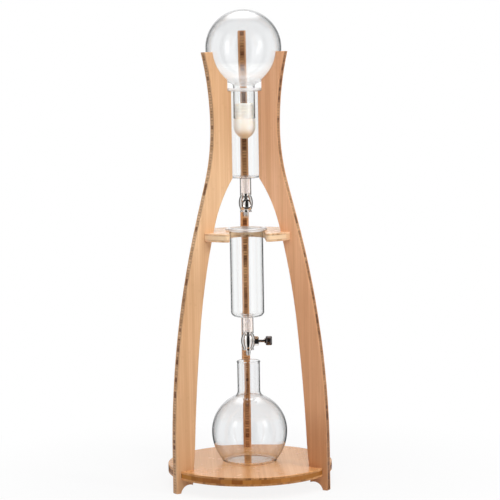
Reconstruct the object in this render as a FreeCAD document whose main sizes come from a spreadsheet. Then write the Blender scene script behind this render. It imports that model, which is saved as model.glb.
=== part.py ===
"""Cold drip coffee tower: bamboo frame, glass vessels and two needle taps.

Units are millimetres, +Z is up, and the origin lies on the tower's axis at the
level of its feet.  Every size is a cell of the sheet "Sizes", and each piece
binds its sketches and its place to those cells.
"""
import FreeCAD, Part
import math
import os
import re

import Sketcher

doc = FreeCAD.newDocument("cold_drip_tower")

# --------------------------------------------------------------------------
# Driving dimensions
# --------------------------------------------------------------------------
SIZES = {
    # boards of the frame
    "board_thickness": 20.0,
    "edge_round": 1.2,
    "slot_fit": 0.2,
    # outer outline of a leg, from the foot up
    "foot_cover": 13.0,
    "hip_height": 90.0,
    "flank_length": 90.5,
    "armpit_radius": 500.0,
    "waist_depth": 50.5,
    "waist_drop": 87.0,
    "horn_radius": 720.0,
    "side_leg_drop": 11.0,
    "back_leg_rise": 46.0,
    # inner outline of a leg
    "arch_lift": 1.0,
    "arch_radius": 353.0,
    "arch_span": 52.0,
    "shoulder_rise": 20.0,
    "thigh_radius": 1643.0,
    "knee_depth": 51.9,
    "knee_height": 430.0,
    "shin_radius": 4600.0,
    "ankle_depth": 54.0,
    "ankle_height": 110.0,
    "heel_depth": 46.0,
    "heel_height": 17.3,
    "cove_radius": 24.0,
    "toe_length": 12.3,
    # round boards
    "base_radius": 205.0,
    "base_thickness": 21.0,
    "base_top": 55.0,
    "plate_radius": 126.0,
    "tube_slot_gap": 2.0,
    "arm_tip_round": 8.0,
    # water globe, mouth down
    "globe_radius": 94.0,
    "globe_wall": 2.6,
    "globe_flange_gap": 21.0,
    "globe_neck_radius": 27.0,
    "globe_neck_drop": 174.0,
    "globe_flare": 7.0,
    "mouth_round": 1.0,
    "cradle_gap": 0.3,
    # stopper in the globe's neck
    "plug_length": 38.0,
    "plug_fit": 0.08,
    "plug_lead": 2.0,
    "collar_height": 18.5,
    "stopper_dome": 30.5,
    "stopper_cup_radius": 17.0,
    "stopper_cup_depth": 46.0,
    "drip_hole_radius": 3.0,
    "dome_tip_radius": 6.0,
    # the two glass tubes
    "tube_radius": 42.0,
    "tube_wall": 3.0,
    "tube_length": 222.0,
    "tube_corner": 13.0,
    "tube_leg_gap": 1.0,
    "flange_width": 10.5,
    "flange_thickness": 7.0,
    "flange_round": 2.0,
    "flange_leg_gap": 0.5,
    "upper_drip_gap": 25.0,
    "lower_drip_gap": 13.0,
    "stem_radius": 14.2,
    "stem_wall": 2.2,
    "stem_length": 38.0,
    "stem_root_round": 3.0,
    # silicone seal and steel inlet tube in each stem
    "seal_fit": 0.05,
    "inlet_radius": 5.0,
    "inlet_wall": 1.8,
    "inlet_socket": 10.0,
    # needle tap, measured from the crossing of its two bores
    "tap_above": 24.0,
    "tap_below": 22.0,
    "tap_belly_radius": 17.7,
    "tap_shoulder_radius": 13.5,
    "tap_collar_height": 4.0,
    "tap_groove_radius": 12.2,
    "tap_groove_height": 1.6,
    "tap_bore_radius": 2.6,
    "nozzle_radius": 6.0,
    "nozzle_tip_radius": 4.6,
    "nozzle_length": 14.0,
    "nozzle_shoulder": 7.0,
    "nozzle_spigot_radius": 4.6,
    "nozzle_spigot_length": 8.0,
    "port_inset": 2.7,
    "port_face_radius": 12.8,
    "packing_radius": 7.0,
    "packing_length": 4.0,
    "nut_radius": 12.4,
    "nut_length": 11.5,
    "nut_chamfer": 1.0,
    "nut_face_radius": 10.2,
    "spindle_radius": 4.0,
    "spindle_gap": 0.05,
    "needle_reach": 4.0,
    "needle_taper": 2.6,
    "knob_start": 41.0,
    "knob_length": 18.5,
    "knob_radius": 11.6,
    "knob_chamfer": 1.6,
    "knob_hub_radius": 6.6,
    "knob_hub_length": 3.0,
    "spindle_seat": 13.0,
    # receiving flask
    "flask_radius": 94.5,
    "flask_wall": 2.6,
    "flask_belly_height": 78.0,
    "flask_skirt_radius": 115.0,
    "flask_foot_rise": 7.0,
    "flask_foot_inset": 9.0,
    "flask_neck_radius": 28.5,
    "flask_flare": 9.0,
    "flask_height": 254.0,
    "flask_lip_flare": 2.1,
    "flask_lip_height": 4.0,
    "flask_lip_round": 1.0,
}

sheet = doc.addObject("Spreadsheet::Sheet", "Sizes")
for row, (alias, number) in enumerate(SIZES.items(), start=1):
    sheet.set(f"A{row}", alias)
    sheet.set(f"B{row}", str(number))
    sheet.setAlias(f"B{row}", alias)
doc.recompute()

LEG_ANGLES = {"back_leg": 90.0, "left_leg": 210.0, "right_leg": 330.0}
PORT_DIRECTIONS = {"upper": (0, -1), "lower": (1, 0)}


# --------------------------------------------------------------------------
# Derived places, as expressions of the sheet's names
# --------------------------------------------------------------------------
TAP_DROP = "(tube_length + stem_length + tap_above)"
TUBE_STACK = f"({TAP_DROP} + tap_below + nozzle_length)"
PLATE_TOP = f"(base_top + flask_height + lower_drip_gap + {TUBE_STACK} - flange_thickness)"
CHAMBER_TOP = f"({PLATE_TOP} + flange_thickness)"
RESERVOIR_TOP = f"({CHAMBER_TOP} + upper_drip_gap + {TUBE_STACK})"
RESERVOIR_SEAT = f"({RESERVOIR_TOP} - flange_thickness)"
TUBE_TOPS = {"upper": RESERVOIR_TOP, "lower": CHAMBER_TOP}

TUBE_BORE = "(tube_radius - tube_wall)"
FLANGE_RADIUS = "(tube_radius + flange_width)"
STEM_BORE = "(stem_radius - stem_wall)"
GLOBE_RISE = f"(globe_flange_gap + sqrt(globe_radius^2 - {FLANGE_RADIUS}^2))"
GLOBE_CENTRE = f"({RESERVOIR_TOP} + {GLOBE_RISE})"
GLOBE_NECK_BORE = "(globe_neck_radius - globe_wall)"
GLOBE_MOUTH = f"({GLOBE_CENTRE} - globe_neck_drop)"

FOOT_REACH = "(base_radius + foot_cover)"
TUBE_REACH = "(tube_radius + tube_leg_gap)"
WAIST_REACH = f"({TUBE_REACH} + waist_depth)"
WAIST_HEIGHT = f"({RESERVOIR_SEAT} - waist_drop)"
# the flank is a straight line tangent to the armpit's arc above and the hip's arc below,
# and HALF_LEAN is the tangent of half its lean
FLANK_RUN = f"({FOOT_REACH} - {WAIST_REACH})"
FLANK_DROP = f"({WAIST_HEIGHT} - hip_height)"
HALF_LEAN = f"({FLANK_RUN} / ({FLANK_DROP} + flank_length))"
LEAN_SINE = f"(2 * {HALF_LEAN} / (1 + {HALF_LEAN}^2))"
LEAN_COSINE = f"((1 - {HALF_LEAN}^2) / (1 + {HALF_LEAN}^2))"
HIP_RADIUS = f"(({FLANK_DROP} - flank_length * {LEAN_COSINE}) / {LEAN_SINE} - armpit_radius)"
KNEE_OUTSIDE = f"({FOOT_REACH} - {HIP_RADIUS} + sqrt({HIP_RADIUS}^2 - (knee_height - hip_height)^2))"
POCKET_REACH = f"({FLANGE_RADIUS} + flange_leg_gap)"
CRADLE_RADIUS = "(globe_radius + cradle_gap)"
SIDE_LEG_TOP = "(0 - side_leg_drop)"
BACK_LEG_TOP = "back_leg_rise"
SLOT_HALF_WIDTH = "(tube_radius + tube_slot_gap)"
RIGHT_THROUGH = "(2 * board_thickness)"

PORT_FACE = "(tap_belly_radius - port_inset)"
SPINDLE_BORE = "(spindle_radius + spindle_gap)"
CLEAR_OF_TAP = "(2 * tap_belly_radius)"
TOUCH = 1e-6
SMALLEST_CUT = 1.0


def bind(text):
    """Expression text with each size's name led by the sheet's name."""
    return re.sub(r"[a-z][a-z_]+", lambda m: f"Sizes.{m[0]}" if m[0] in SIZES else m[0], str(text))


def value(text):
    """Number that an expression of the sheet's names gives."""
    return float(sheet.evalExpression(bind(text)))


def new_body(label):
    body = doc.addObject("PartDesign::Body", label)
    body.Label = label
    return body


def plane_of(body, role):
    return next(item for item in body.Origin.OriginFeatures if item.Role == role)


def new_sketch(body, name, role="XZ_Plane"):
    sketch = body.newObject("Sketcher::SketchObject", f"{body.Name}_{name}")
    sketch.AttachmentSupport = (plane_of(body, role), [""])
    sketch.MapMode = "FlatFace"
    return sketch


def fix_point(sketch, geometry, position, across, along):
    """Hold one vertex at two expressions, measured from the sketch's origin."""
    for kind, text in (("DistanceX", across), ("DistanceY", along)):
        index = sketch.addConstraint(
            Sketcher.Constraint(kind, -1, 1, geometry, position, value(text)))
        sketch.setExpression(f"Constraints[{index}]", bind(text))


def arc_between(start, end, radius, clockwise):
    """Shorter arc of a given radius from start to end."""
    first = FreeCAD.Vector(*start, 0)
    last = FreeCAD.Vector(*end, 0)
    chord = last - first
    half = chord.Length / 2
    rise = math.sqrt(max(radius * radius - half * half, 0.0))
    side = FreeCAD.Vector(chord.y, -chord.x, 0).normalize() * (1 if clockwise else -1)
    centre = (first + last) / 2 + side * rise
    circle = Part.Circle(centre, FreeCAD.Vector(0, 0, 1), radius)
    from_angle = math.atan2(first.y - centre.y, first.x - centre.x)
    to_angle = math.atan2(last.y - centre.y, last.x - centre.x)
    if clockwise:
        return Part.ArcOfCircle(circle, to_angle, from_angle)
    return Part.ArcOfCircle(circle, from_angle, to_angle)


def outline(sketch, corners):
    """Closed outline through corners (across, along[, radius, way]) in order.

    A corner with a radius is reached by an arc, whose way is "cw" or "ccw".
    """
    points = [(value(corner[0]), value(corner[1])) for corner in corners]
    ends = []
    for index, corner in enumerate(corners):
        start = points[index - 1]
        end = points[index]
        if len(corner) == 2:
            line = Part.LineSegment(FreeCAD.Vector(*start, 0), FreeCAD.Vector(*end, 0))
            ends.append((sketch.addGeometry(line, False), 1, 2))
            continue
        clockwise = corner[3] == "cw"
        arc = arc_between(start, end, value(corner[2]), clockwise)
        first, last = (2, 1) if clockwise else (1, 2)
        ends.append((sketch.addGeometry(arc, False), first, last))
    for index, (geometry, first, last) in enumerate(ends):
        following, next_first, _ = ends[(index + 1) % len(ends)]
        sketch.addConstraint(
            Sketcher.Constraint("Coincident", geometry, last, following, next_first))
        fix_point(sketch, geometry, last, *corners[index][:2])
    for corner, (geometry, _, _) in zip(corners, ends):
        if len(corner) == 4:
            index = sketch.addConstraint(
                Sketcher.Constraint("Radius", geometry, value(corner[2])))
            sketch.setExpression(f"Constraints[{index}]", bind(corner[2]))
    return sketch


def round_hole(sketch, radius):
    """Circle about the sketch's origin."""
    circle = Part.Circle(FreeCAD.Vector(0, 0, 0), FreeCAD.Vector(0, 0, 1), value(radius))
    geometry = sketch.addGeometry(circle, False)
    sketch.addConstraint(Sketcher.Constraint("Coincident", geometry, 3, -1, 1))
    index = sketch.addConstraint(Sketcher.Constraint("Radius", geometry, value(radius)))
    sketch.setExpression(f"Constraints[{index}]", bind(radius))
    return sketch


def revolve(body, name, corners, axis="V_Axis", kind="Revolution"):
    """Revolution or Groove of an outline in the body's XZ plane."""
    sketch = outline(new_sketch(body, f"{name}_outline"), corners)
    feature = body.newObject(f"PartDesign::{kind}", f"{body.Name}_{name}")
    feature.Profile = sketch
    feature.ReferenceAxis = (sketch, [axis])
    feature.Angle = 360.0
    doc.recompute()
    return feature


def extrude(body, name, sketch, length, kind="Pad", symmetric=False):
    """Pad or Pocket of a sketch by an expression."""
    feature = body.newObject(f"PartDesign::{kind}", f"{body.Name}_{name}")
    feature.Profile = sketch
    feature.setExpression("Length", bind(length))
    if symmetric:
        feature.SideType = "Symmetric"
    doc.recompute()
    return feature


def cut_checked(body, before):
    """Stop where a cut has taken nothing away."""
    doc.recompute()
    if body.Shape.Volume > before - SMALLEST_CUT:
        raise RuntimeError(f"{body.Label}: a cut missed the solid")


def blend_edges(body, name, chosen, size, kind="Fillet", size_name="Radius"):
    """Fillet or Chamfer of the edges that chosen(edge) accepts."""
    base = body.Tip
    names = [f"Edge{number}" for number, edge in enumerate(base.Shape.Edges, start=1)
             if chosen(edge)]
    if not names:
        raise RuntimeError(f"{body.Label}: no edge for {name}")
    feature = body.newObject(f"PartDesign::{kind}", f"{body.Name}_{name}")
    feature.Base = (base, names)
    feature.setExpression(size_name, bind(size))
    doc.recompute()
    return feature


def place(body, across="0", away="0", up="0", turn=0.0):
    """Placement with its shift bound to expressions and a turn about Z."""
    body.Placement = FreeCAD.Placement(
        FreeCAD.Vector(0, 0, 0), FreeCAD.Rotation(FreeCAD.Vector(0, 0, 1), turn))
    for axis, text in (("x", across), ("y", away), ("z", up)):
        body.setExpression(f"Placement.Base.{axis}", bind(text))


# --------------------------------------------------------------------------
# Bamboo frame
# --------------------------------------------------------------------------
def leg_corners(horn_top, cradle_top):
    """Outline of a leg in reach and height, foot first, up the outer edge.

    The two tops are measured from the level of the globe's centre.
    """
    horn_height = f"({GLOBE_CENTRE} + {horn_top})"
    horn_run = f"sqrt(horn_radius^2 - ({horn_height} - {WAIST_HEIGHT})^2)"
    rim_reach = f"sqrt({CRADLE_RADIUS}^2 - {cradle_top}^2)"
    pocket_drop = f"sqrt({CRADLE_RADIUS}^2 - {POCKET_REACH}^2)"
    corners = [
        (FOOT_REACH, "0"),
        (FOOT_REACH, "hip_height"),
        (f"{FOOT_REACH} - {HIP_RADIUS} * (1 - {LEAN_COSINE})",
         f"hip_height + {HIP_RADIUS} * {LEAN_SINE}", HIP_RADIUS, "ccw"),
        (f"{WAIST_REACH} + armpit_radius * (1 - {LEAN_COSINE})",
         f"{WAIST_HEIGHT} - armpit_radius * {LEAN_SINE}"),
        (WAIST_REACH, WAIST_HEIGHT, "armpit_radius", "cw"),
        (f"{WAIST_REACH} + horn_radius - {horn_run}", horn_height, "horn_radius", "cw"),
        (rim_reach, horn_height),
    ]
    if cradle_top != horn_top:
        corners.append((rim_reach, f"{GLOBE_CENTRE} + {cradle_top}"))
    corners += [
        (POCKET_REACH, f"{GLOBE_CENTRE} - {pocket_drop}", CRADLE_RADIUS, "cw"),
        (POCKET_REACH, RESERVOIR_SEAT),
        (TUBE_REACH, RESERVOIR_SEAT),
        (TUBE_REACH, f"{RESERVOIR_TOP} - tube_length + arch_lift"),
        (f"{TUBE_REACH} + arch_span", f"{PLATE_TOP} + shoulder_rise", "arch_radius", "cw"),
        (f"{KNEE_OUTSIDE} - knee_depth", "knee_height", "thigh_radius", "cw"),
        (f"{FOOT_REACH} - ankle_depth", "ankle_height", "shin_radius", "cw"),
        (f"{FOOT_REACH} - heel_depth", "heel_height"),
        (f"{FOOT_REACH} - toe_length", "0", "cove_radius", "cw"),
    ]
    return corners


def on_board_face(edge):
    """Edge that lies whole in one of a leg's two faces."""
    half = value("board_thickness") / 2
    first, last = edge.Vertexes[0].Point, edge.Vertexes[-1].Point
    return abs(first.y - last.y) < TOUCH and abs(abs(first.y) - half) < TOUCH


def cut_board_slot(leg, name, board_radius, top, thickness):
    """Slot in a leg that takes the edge of a round board."""
    rim = f"{board_radius} + slot_fit"
    bottom = f"{top} - {thickness}"
    before = leg.Shape.Volume
    sketch = outline(new_sketch(leg, f"{name}_outline"), [
        ("tube_radius", bottom), (rim, bottom), (rim, top), ("tube_radius", top)])
    extrude(leg, name, sketch, RIGHT_THROUGH, "Pocket", symmetric=True)
    cut_checked(leg, before)


def build_leg(label, turn, horn_top, cradle_top):
    leg = new_body(label)
    sketch = outline(new_sketch(leg, "outline"), leg_corners(horn_top, cradle_top))
    extrude(leg, "board", sketch, "board_thickness", symmetric=True)
    blend_edges(leg, "eased_edges", on_board_face, "edge_round", "Chamfer", "Size")
    cut_board_slot(leg, "base_slot", "base_radius", "base_top", "base_thickness")
    cut_board_slot(leg, "plate_slot", "plate_radius", PLATE_TOP, "board_thickness")
    place(leg, turn=turn)
    return leg


def round_board(label, radius, thickness, top):
    board = new_body(label)
    sketch = round_hole(new_sketch(board, "outline", "XY_Plane"), radius)
    extrude(board, "board", sketch, thickness)
    place(board, up=f"{top} - {thickness}")
    return board


def build_base_disc():
    base = round_board("base_disc", "base_radius", "base_thickness", "base_top")
    blend_edges(base, "soft_edges", lambda edge: len(edge.Vertexes) == 1, "edge_round")
    return base


def build_middle_plate():
    """Round plate with a slot, open to the front, that the chamber hangs in."""
    plate = round_board("middle_plate", "plate_radius", "board_thickness", PLATE_TOP)
    before = plate.Shape.Volume
    mouth = f"(0 - plate_radius - {SLOT_HALF_WIDTH})"
    sketch = outline(new_sketch(plate, "slot_outline", "XY_Plane"), [
        (f"0 - {SLOT_HALF_WIDTH}", mouth),
        (SLOT_HALF_WIDTH, mouth),
        (SLOT_HALF_WIDTH, "0"),
        ("0", SLOT_HALF_WIDTH, SLOT_HALF_WIDTH, "ccw"),
        (f"0 - {SLOT_HALF_WIDTH}", "0", SLOT_HALF_WIDTH, "ccw"),
    ])
    extrude(plate, "slot", sketch, f"2 * {RIGHT_THROUGH}", "Pocket", symmetric=True)
    cut_checked(plate, before)
    front = -value("plate_radius") / 2
    thickness = value("board_thickness")

    def at_arm_tip(edge):
        low, high = (vertex.Point for vertex in (edge.Vertexes[0], edge.Vertexes[-1]))
        upright = abs(low.x - high.x) < TOUCH and abs(low.y - high.y) < TOUCH
        return upright and abs(low.z - high.z) > TOUCH and low.y < front

    def on_face(edge):
        heights = [vertex.Point.z for vertex in edge.Vertexes]
        level = max(heights) - min(heights) < TOUCH
        return level and min(abs(heights[0]), abs(heights[0] - thickness)) < TOUCH

    blend_edges(plate, "arm_tips", at_arm_tip, "arm_tip_round")
    blend_edges(plate, "soft_edges", on_face, "edge_round")
    return plate


# --------------------------------------------------------------------------
# Glass
# --------------------------------------------------------------------------
def flare_points(ball, neck, flare, wall):
    """Tangent points of the neck's flare on the outer and inner glass."""
    depth = f"sqrt(({ball} + {flare})^2 - ({neck} + {flare})^2)"
    reach = f"({neck} + {flare})"
    outer = f"{ball} / ({ball} + {flare})"
    inner = f"({ball} - {wall}) / ({ball} + {flare})"
    return depth, [(f"{reach} * {share}", f"{depth} * {share}") for share in (outer, inner)]


def level_arc(run, rise):
    """Radius of an arc that starts level and climbs a rise over a run."""
    return f"(({run}^2 + {rise}^2) / (2 * {rise}))"


def build_globe():
    """Round water globe with its mouth down, about its own centre."""
    globe = new_body("water_globe")
    depth, (outer, inner) = flare_points(
        "globe_radius", "globe_neck_radius", "globe_flare", "globe_wall")
    mouth = "(0 - globe_neck_drop)"
    revolve(globe, "glass", [
        ("0", "globe_radius", "globe_radius", "ccw"),
        ("0", "globe_radius - globe_wall"),
        ("globe_radius - globe_wall", "0", "globe_radius - globe_wall", "cw"),
        (inner[0], f"0 - {inner[1]}", "globe_radius - globe_wall", "cw"),
        (GLOBE_NECK_BORE, f"0 - {depth}", "globe_flare + globe_wall", "ccw"),
        (GLOBE_NECK_BORE, mouth),
        ("globe_neck_radius", mouth),
        ("globe_neck_radius", f"0 - {depth}"),
        (outer[0], f"0 - {outer[1]}", "globe_flare", "cw"),
        ("globe_radius", "0", "globe_radius", "ccw"),
    ])
    mouth_height = value(mouth)
    blend_edges(globe, "fired_mouth", lambda edge: abs(edge.CenterOfMass.z - mouth_height) < TOUCH,
                "mouth_round")
    place(globe, up=GLOBE_CENTRE)
    return globe


def build_stopper():
    """Hollow silicone stopper: plug in the neck, collar below it, dome with a drip hole."""
    stopper = new_body("globe_stopper")
    plug = f"({GLOBE_NECK_BORE} - plug_fit)"
    tip = "(0 - collar_height - stopper_dome)"
    cup_floor = "(plug_length - stopper_cup_depth)"
    dome_run = "(globe_neck_radius - dome_tip_radius)"
    revolve(stopper, "silicone", [
        ("stopper_cup_radius", "plug_length"),
        ("stopper_cup_radius", cup_floor),
        ("drip_hole_radius", f"{cup_floor} - stopper_cup_radius"),
        ("drip_hole_radius", tip),
        ("dome_tip_radius", tip),
        ("globe_neck_radius", "0 - collar_height",
         level_arc("stopper_dome", dome_run), "ccw"),
        ("globe_neck_radius", "0"),
        (plug, "0"),
        (plug, "plug_length - plug_lead"),
        (f"{plug} - plug_lead / 2", "plug_length"),
    ])
    place(stopper, up=GLOBE_MOUTH)
    return stopper


def build_tube(label, top):
    """Straight glass tube that hangs by its flange, with a stem below."""
    tube = new_body(label)
    floor = "(0 - tube_length)"
    stem_end = "(0 - tube_length - stem_length)"
    inner_corner = "(tube_corner - tube_wall)"
    revolve(tube, "glass", [
        (TUBE_BORE, "0"),
        (TUBE_BORE, f"{floor} + tube_corner"),
        (f"{TUBE_BORE} - {inner_corner}", f"{floor} + tube_wall", inner_corner, "cw"),
        (STEM_BORE, f"{floor} + tube_wall"),
        (STEM_BORE, stem_end),
        ("stem_radius", stem_end),
        ("stem_radius", f"{floor} - stem_root_round"),
        ("stem_radius + stem_root_round", floor, "stem_root_round", "cw"),
        ("tube_radius - tube_corner", floor),
        ("tube_radius", f"{floor} + tube_corner", "tube_corner", "ccw"),
        ("tube_radius", "0 - flange_thickness"),
        (f"{FLANGE_RADIUS} - flange_round", "0 - flange_thickness"),
        (FLANGE_RADIUS, "flange_round - flange_thickness", "flange_round", "ccw"),
        (FLANGE_RADIUS, "0 - flange_round"),
        (f"{FLANGE_RADIUS} - flange_round", "0", "flange_round", "ccw"),
    ])
    place(tube, up=top)
    return tube


def build_flask():
    """Round flask with a flat foot and a straight neck, from the base disc up."""
    flask = new_body("coffee_flask")
    depth, (outer, inner) = flare_points(
        "flask_radius", "flask_neck_radius", "flask_flare", "flask_wall")
    belly = "flask_belly_height"
    neck_bore = "(flask_neck_radius - flask_wall)"
    lip_low = "(flask_height - flask_lip_height)"
    # the skirt arc runs from the widest point down to the foot's corner
    skirt_centre = "(flask_radius - flask_skirt_radius)"
    skirt_drop = f"({belly} - flask_foot_rise)"
    outer_end = f"({skirt_centre} + sqrt(flask_skirt_radius^2 - {skirt_drop}^2))"
    inner_end = (f"({skirt_centre} + sqrt((flask_skirt_radius - flask_wall)^2"
                 f" - {skirt_drop}^2))")
    foot = f"({outer_end} - flask_foot_inset)"
    outer_foot_arc = level_arc("flask_foot_inset", "flask_foot_rise")
    inner_foot_arc = level_arc(f"({inner_end} - {foot} + flask_wall)",
                               "(flask_foot_rise - flask_wall)")
    revolve(flask, "glass", [
        ("0", "flask_wall"),
        ("0", "0"),
        (foot, "0"),
        (outer_end, "flask_foot_rise", outer_foot_arc, "ccw"),
        ("flask_radius", belly, "flask_skirt_radius", "ccw"),
        (outer[0], f"{belly} + {outer[1]}", "flask_radius", "ccw"),
        ("flask_neck_radius", f"{belly} + {depth}", "flask_flare", "cw"),
        ("flask_neck_radius", f"{lip_low} - flask_lip_flare"),
        ("flask_neck_radius + flask_lip_flare", lip_low),
        ("flask_neck_radius + flask_lip_flare", "flask_height"),
        (neck_bore, "flask_height"),
        (neck_bore, f"{belly} + {depth}"),
        (inner[0], f"{belly} + {inner[1]}", "flask_flare + flask_wall", "ccw"),
        ("flask_radius - flask_wall", belly, "flask_radius - flask_wall", "cw"),
        (inner_end, "flask_foot_rise", "flask_skirt_radius - flask_wall", "cw"),
        (f"{foot} - flask_wall", "flask_wall", inner_foot_arc, "cw"),
    ])
    top = value("flask_height")
    blend_edges(flask, "fired_lip", lambda edge: abs(edge.CenterOfMass.z - top) < TOUCH,
                "flask_lip_round")
    place(flask, up="base_top")
    return flask


# --------------------------------------------------------------------------
# Needle taps, each about the crossing of its two bores, with the port on +X
# --------------------------------------------------------------------------
def build_stem_seal(which):
    seal = new_body(f"{which}_stem_seal")
    revolve(seal, "silicone", [
        ("inlet_radius", "tap_above"),
        (f"{STEM_BORE} - seal_fit", "tap_above"),
        (f"{STEM_BORE} - seal_fit", "tap_above + stem_length + tube_wall"),
        ("inlet_radius", "tap_above + stem_length + tube_wall"),
    ])
    return seal


def build_inlet_tube(which):
    inlet = new_body(f"{which}_inlet_tube")
    revolve(inlet, "tube", [
        ("inlet_radius - inlet_wall", "tap_above - inlet_socket"),
        ("inlet_radius", "tap_above - inlet_socket"),
        ("inlet_radius", "tap_above + stem_length + tube_wall"),
        ("inlet_radius - inlet_wall", "tap_above + stem_length + tube_wall"),
    ])
    return inlet


def build_tap_body(which):
    """Barrel with a collar at each end, an upright bore and a stepped side port."""
    tap = new_body(f"{which}_tap_body")
    waist = "(tap_above - tap_collar_height - tap_groove_height)"
    hem = "(tap_below - tap_collar_height - tap_groove_height)"
    belly_rise = "(tap_belly_radius - tap_shoulder_radius)"
    belly_arc = level_arc(f"(({waist} + {hem}) / 2)", belly_rise)
    revolve(tap, "barrel", [
        ("inlet_radius", "tap_above"),
        ("inlet_radius", "tap_above - inlet_socket"),
        ("tap_bore_radius", "tap_above - inlet_socket"),
        ("tap_bore_radius", "nozzle_spigot_length - tap_below"),
        ("nozzle_spigot_radius", "nozzle_spigot_length - tap_below"),
        ("nozzle_spigot_radius", "0 - tap_below"),
        ("stem_radius", "0 - tap_below"),
        ("stem_radius", "tap_collar_height - tap_below"),
        ("tap_groove_radius", "tap_collar_height - tap_below"),
        ("tap_groove_radius", f"0 - {hem}"),
        ("tap_shoulder_radius", f"0 - {hem}"),
        ("tap_shoulder_radius", waist, belly_arc, "ccw"),
        ("tap_groove_radius", waist),
        ("tap_groove_radius", "tap_above - tap_collar_height"),
        ("stem_radius", "tap_above - tap_collar_height"),
        ("stem_radius", "tap_above"),
    ])
    before = tap.Shape.Volume
    revolve(tap, "port", [
        ("0 - needle_reach - spindle_gap", "0"),
        (CLEAR_OF_TAP, "0"),
        (CLEAR_OF_TAP, "port_face_radius"),
        (PORT_FACE, "port_face_radius"),
        (PORT_FACE, "packing_radius"),
        (f"{PORT_FACE} - packing_length", "packing_radius"),
        (f"{PORT_FACE} - packing_length", SPINDLE_BORE),
        ("0 - needle_reach - spindle_gap + needle_taper", SPINDLE_BORE),
        ("0 - needle_reach - spindle_gap", f"{SPINDLE_BORE} - needle_taper"),
    ], axis="H_Axis", kind="Groove")
    cut_checked(tap, before)
    return tap


def build_nozzle(which):
    nozzle = new_body(f"{which}_nozzle")
    revolve(nozzle, "spout", [
        ("tap_bore_radius", "nozzle_spigot_length - tap_below"),
        ("tap_bore_radius", "0 - tap_below - nozzle_length"),
        ("nozzle_tip_radius", "0 - tap_below - nozzle_length"),
        ("nozzle_radius", "0 - tap_below - nozzle_shoulder"),
        ("nozzle_radius", "0 - tap_below"),
        ("nozzle_spigot_radius", "0 - tap_below"),
        ("nozzle_spigot_radius", "nozzle_spigot_length - tap_below"),
    ])
    return nozzle


def build_packing_ring(which):
    ring = new_body(f"{which}_packing_ring")
    revolve(ring, "ring", [
        (f"{PORT_FACE} - packing_length", SPINDLE_BORE),
        (PORT_FACE, SPINDLE_BORE),
        (PORT_FACE, "packing_radius"),
        (f"{PORT_FACE} - packing_length", "packing_radius"),
    ], axis="H_Axis")
    return ring


def build_gland_nut(which):
    """Hexagonal nut that presses the packing, with a turned face."""
    nut = new_body(f"{which}_gland_nut")
    sketch = new_sketch(nut, "hexagon", "YZ_Plane")
    outline(sketch, [(f"nut_radius * cos({60 * step})", f"nut_radius * sin({60 * step})")
                     for step in range(6)])
    round_hole(sketch, SPINDLE_BORE)
    extrude(nut, "hexagon_pad", sketch, "nut_length")
    before = nut.Shape.Volume
    rim = "(nut_radius + nut_chamfer)"
    revolve(nut, "turned_face", [
        ("nut_length + nut_chamfer", "nut_face_radius - nut_chamfer"),
        ("nut_length + nut_chamfer", rim),
        (f"nut_length + nut_chamfer - {rim} + nut_face_radius - nut_chamfer", rim),
    ], axis="H_Axis", kind="Groove")
    cut_checked(nut, before)
    return nut


def build_spindle(which):
    """Round spindle whose tapered end closes the upright bore."""
    spindle = new_body(f"{which}_spindle")
    knob_seat_end = "(knob_start + spindle_seat)"
    revolve(spindle, "needle", [
        ("0 - needle_reach", "0"),
        (knob_seat_end, "0"),
        (knob_seat_end, "spindle_radius"),
        ("needle_taper - needle_reach", "spindle_radius"),
        ("0 - needle_reach", "spindle_radius - needle_taper"),
    ], axis="H_Axis")
    return spindle


def build_knob(which):
    """Turned knob with a hub behind it and a blind bore for the spindle."""
    knob = new_body(f"{which}_knob")
    hub_end = "(knob_start + knob_hub_length)"
    knob_end = "(knob_start + knob_length)"
    seat_end = "(knob_start + spindle_seat)"
    revolve(knob, "grip", [
        (seat_end, "0"),
        (knob_end, "0"),
        (knob_end, "knob_radius - knob_chamfer"),
        (f"{knob_end} - knob_chamfer", "knob_radius"),
        (f"{hub_end} + knob_chamfer", "knob_radius"),
        (hub_end, "knob_radius - knob_chamfer"),
        (hub_end, "knob_hub_radius"),
        ("knob_start", "knob_hub_radius"),
        ("knob_start", SPINDLE_BORE),
        (seat_end, SPINDLE_BORE),
    ], axis="H_Axis")
    return knob


def build_tap(which):
    """All pieces of one tap, placed under its glass tube with its port turned."""
    across, away = PORT_DIRECTIONS[which]
    turn = math.degrees(math.atan2(away, across))
    height = f"{TUBE_TOPS[which]} - {TAP_DROP}"
    pieces = [build_stem_seal(which), build_inlet_tube(which), build_tap_body(which),
              build_nozzle(which), build_packing_ring(which), build_spindle(which),
              build_knob(which)]
    for piece in pieces:
        place(piece, up=height, turn=turn)
    nut = build_gland_nut(which)
    place(nut, f"{across} * {PORT_FACE}", f"{away} * {PORT_FACE}", height, turn)
    return pieces + [nut]


def check_and_export(nodes):
    """Stop on a failed object or a bad shape, then write one STEP file a node."""
    doc.recompute()
    for item in doc.Objects:
        if {"Invalid", "Error"} & set(item.State):
            raise RuntimeError(f"{item.Label} failed: {item.State}")
    for node in nodes:
        if node.Shape.isNull() or not node.Shape.isValid() or len(node.Shape.Solids) != 1:
            raise RuntimeError(f"{node.Label} has a bad shape")
    os.makedirs("parts", exist_ok=True)
    for node in nodes:
        node.Shape.exportStep(os.path.join("parts", f"{node.Label}.step"))
        box = node.Shape.BoundBox
        print(f"{node.Label}: {node.Shape.Volume / 1000:.1f} cm3, "
              f"z {box.ZMin:.1f} to {box.ZMax:.1f}")


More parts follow.
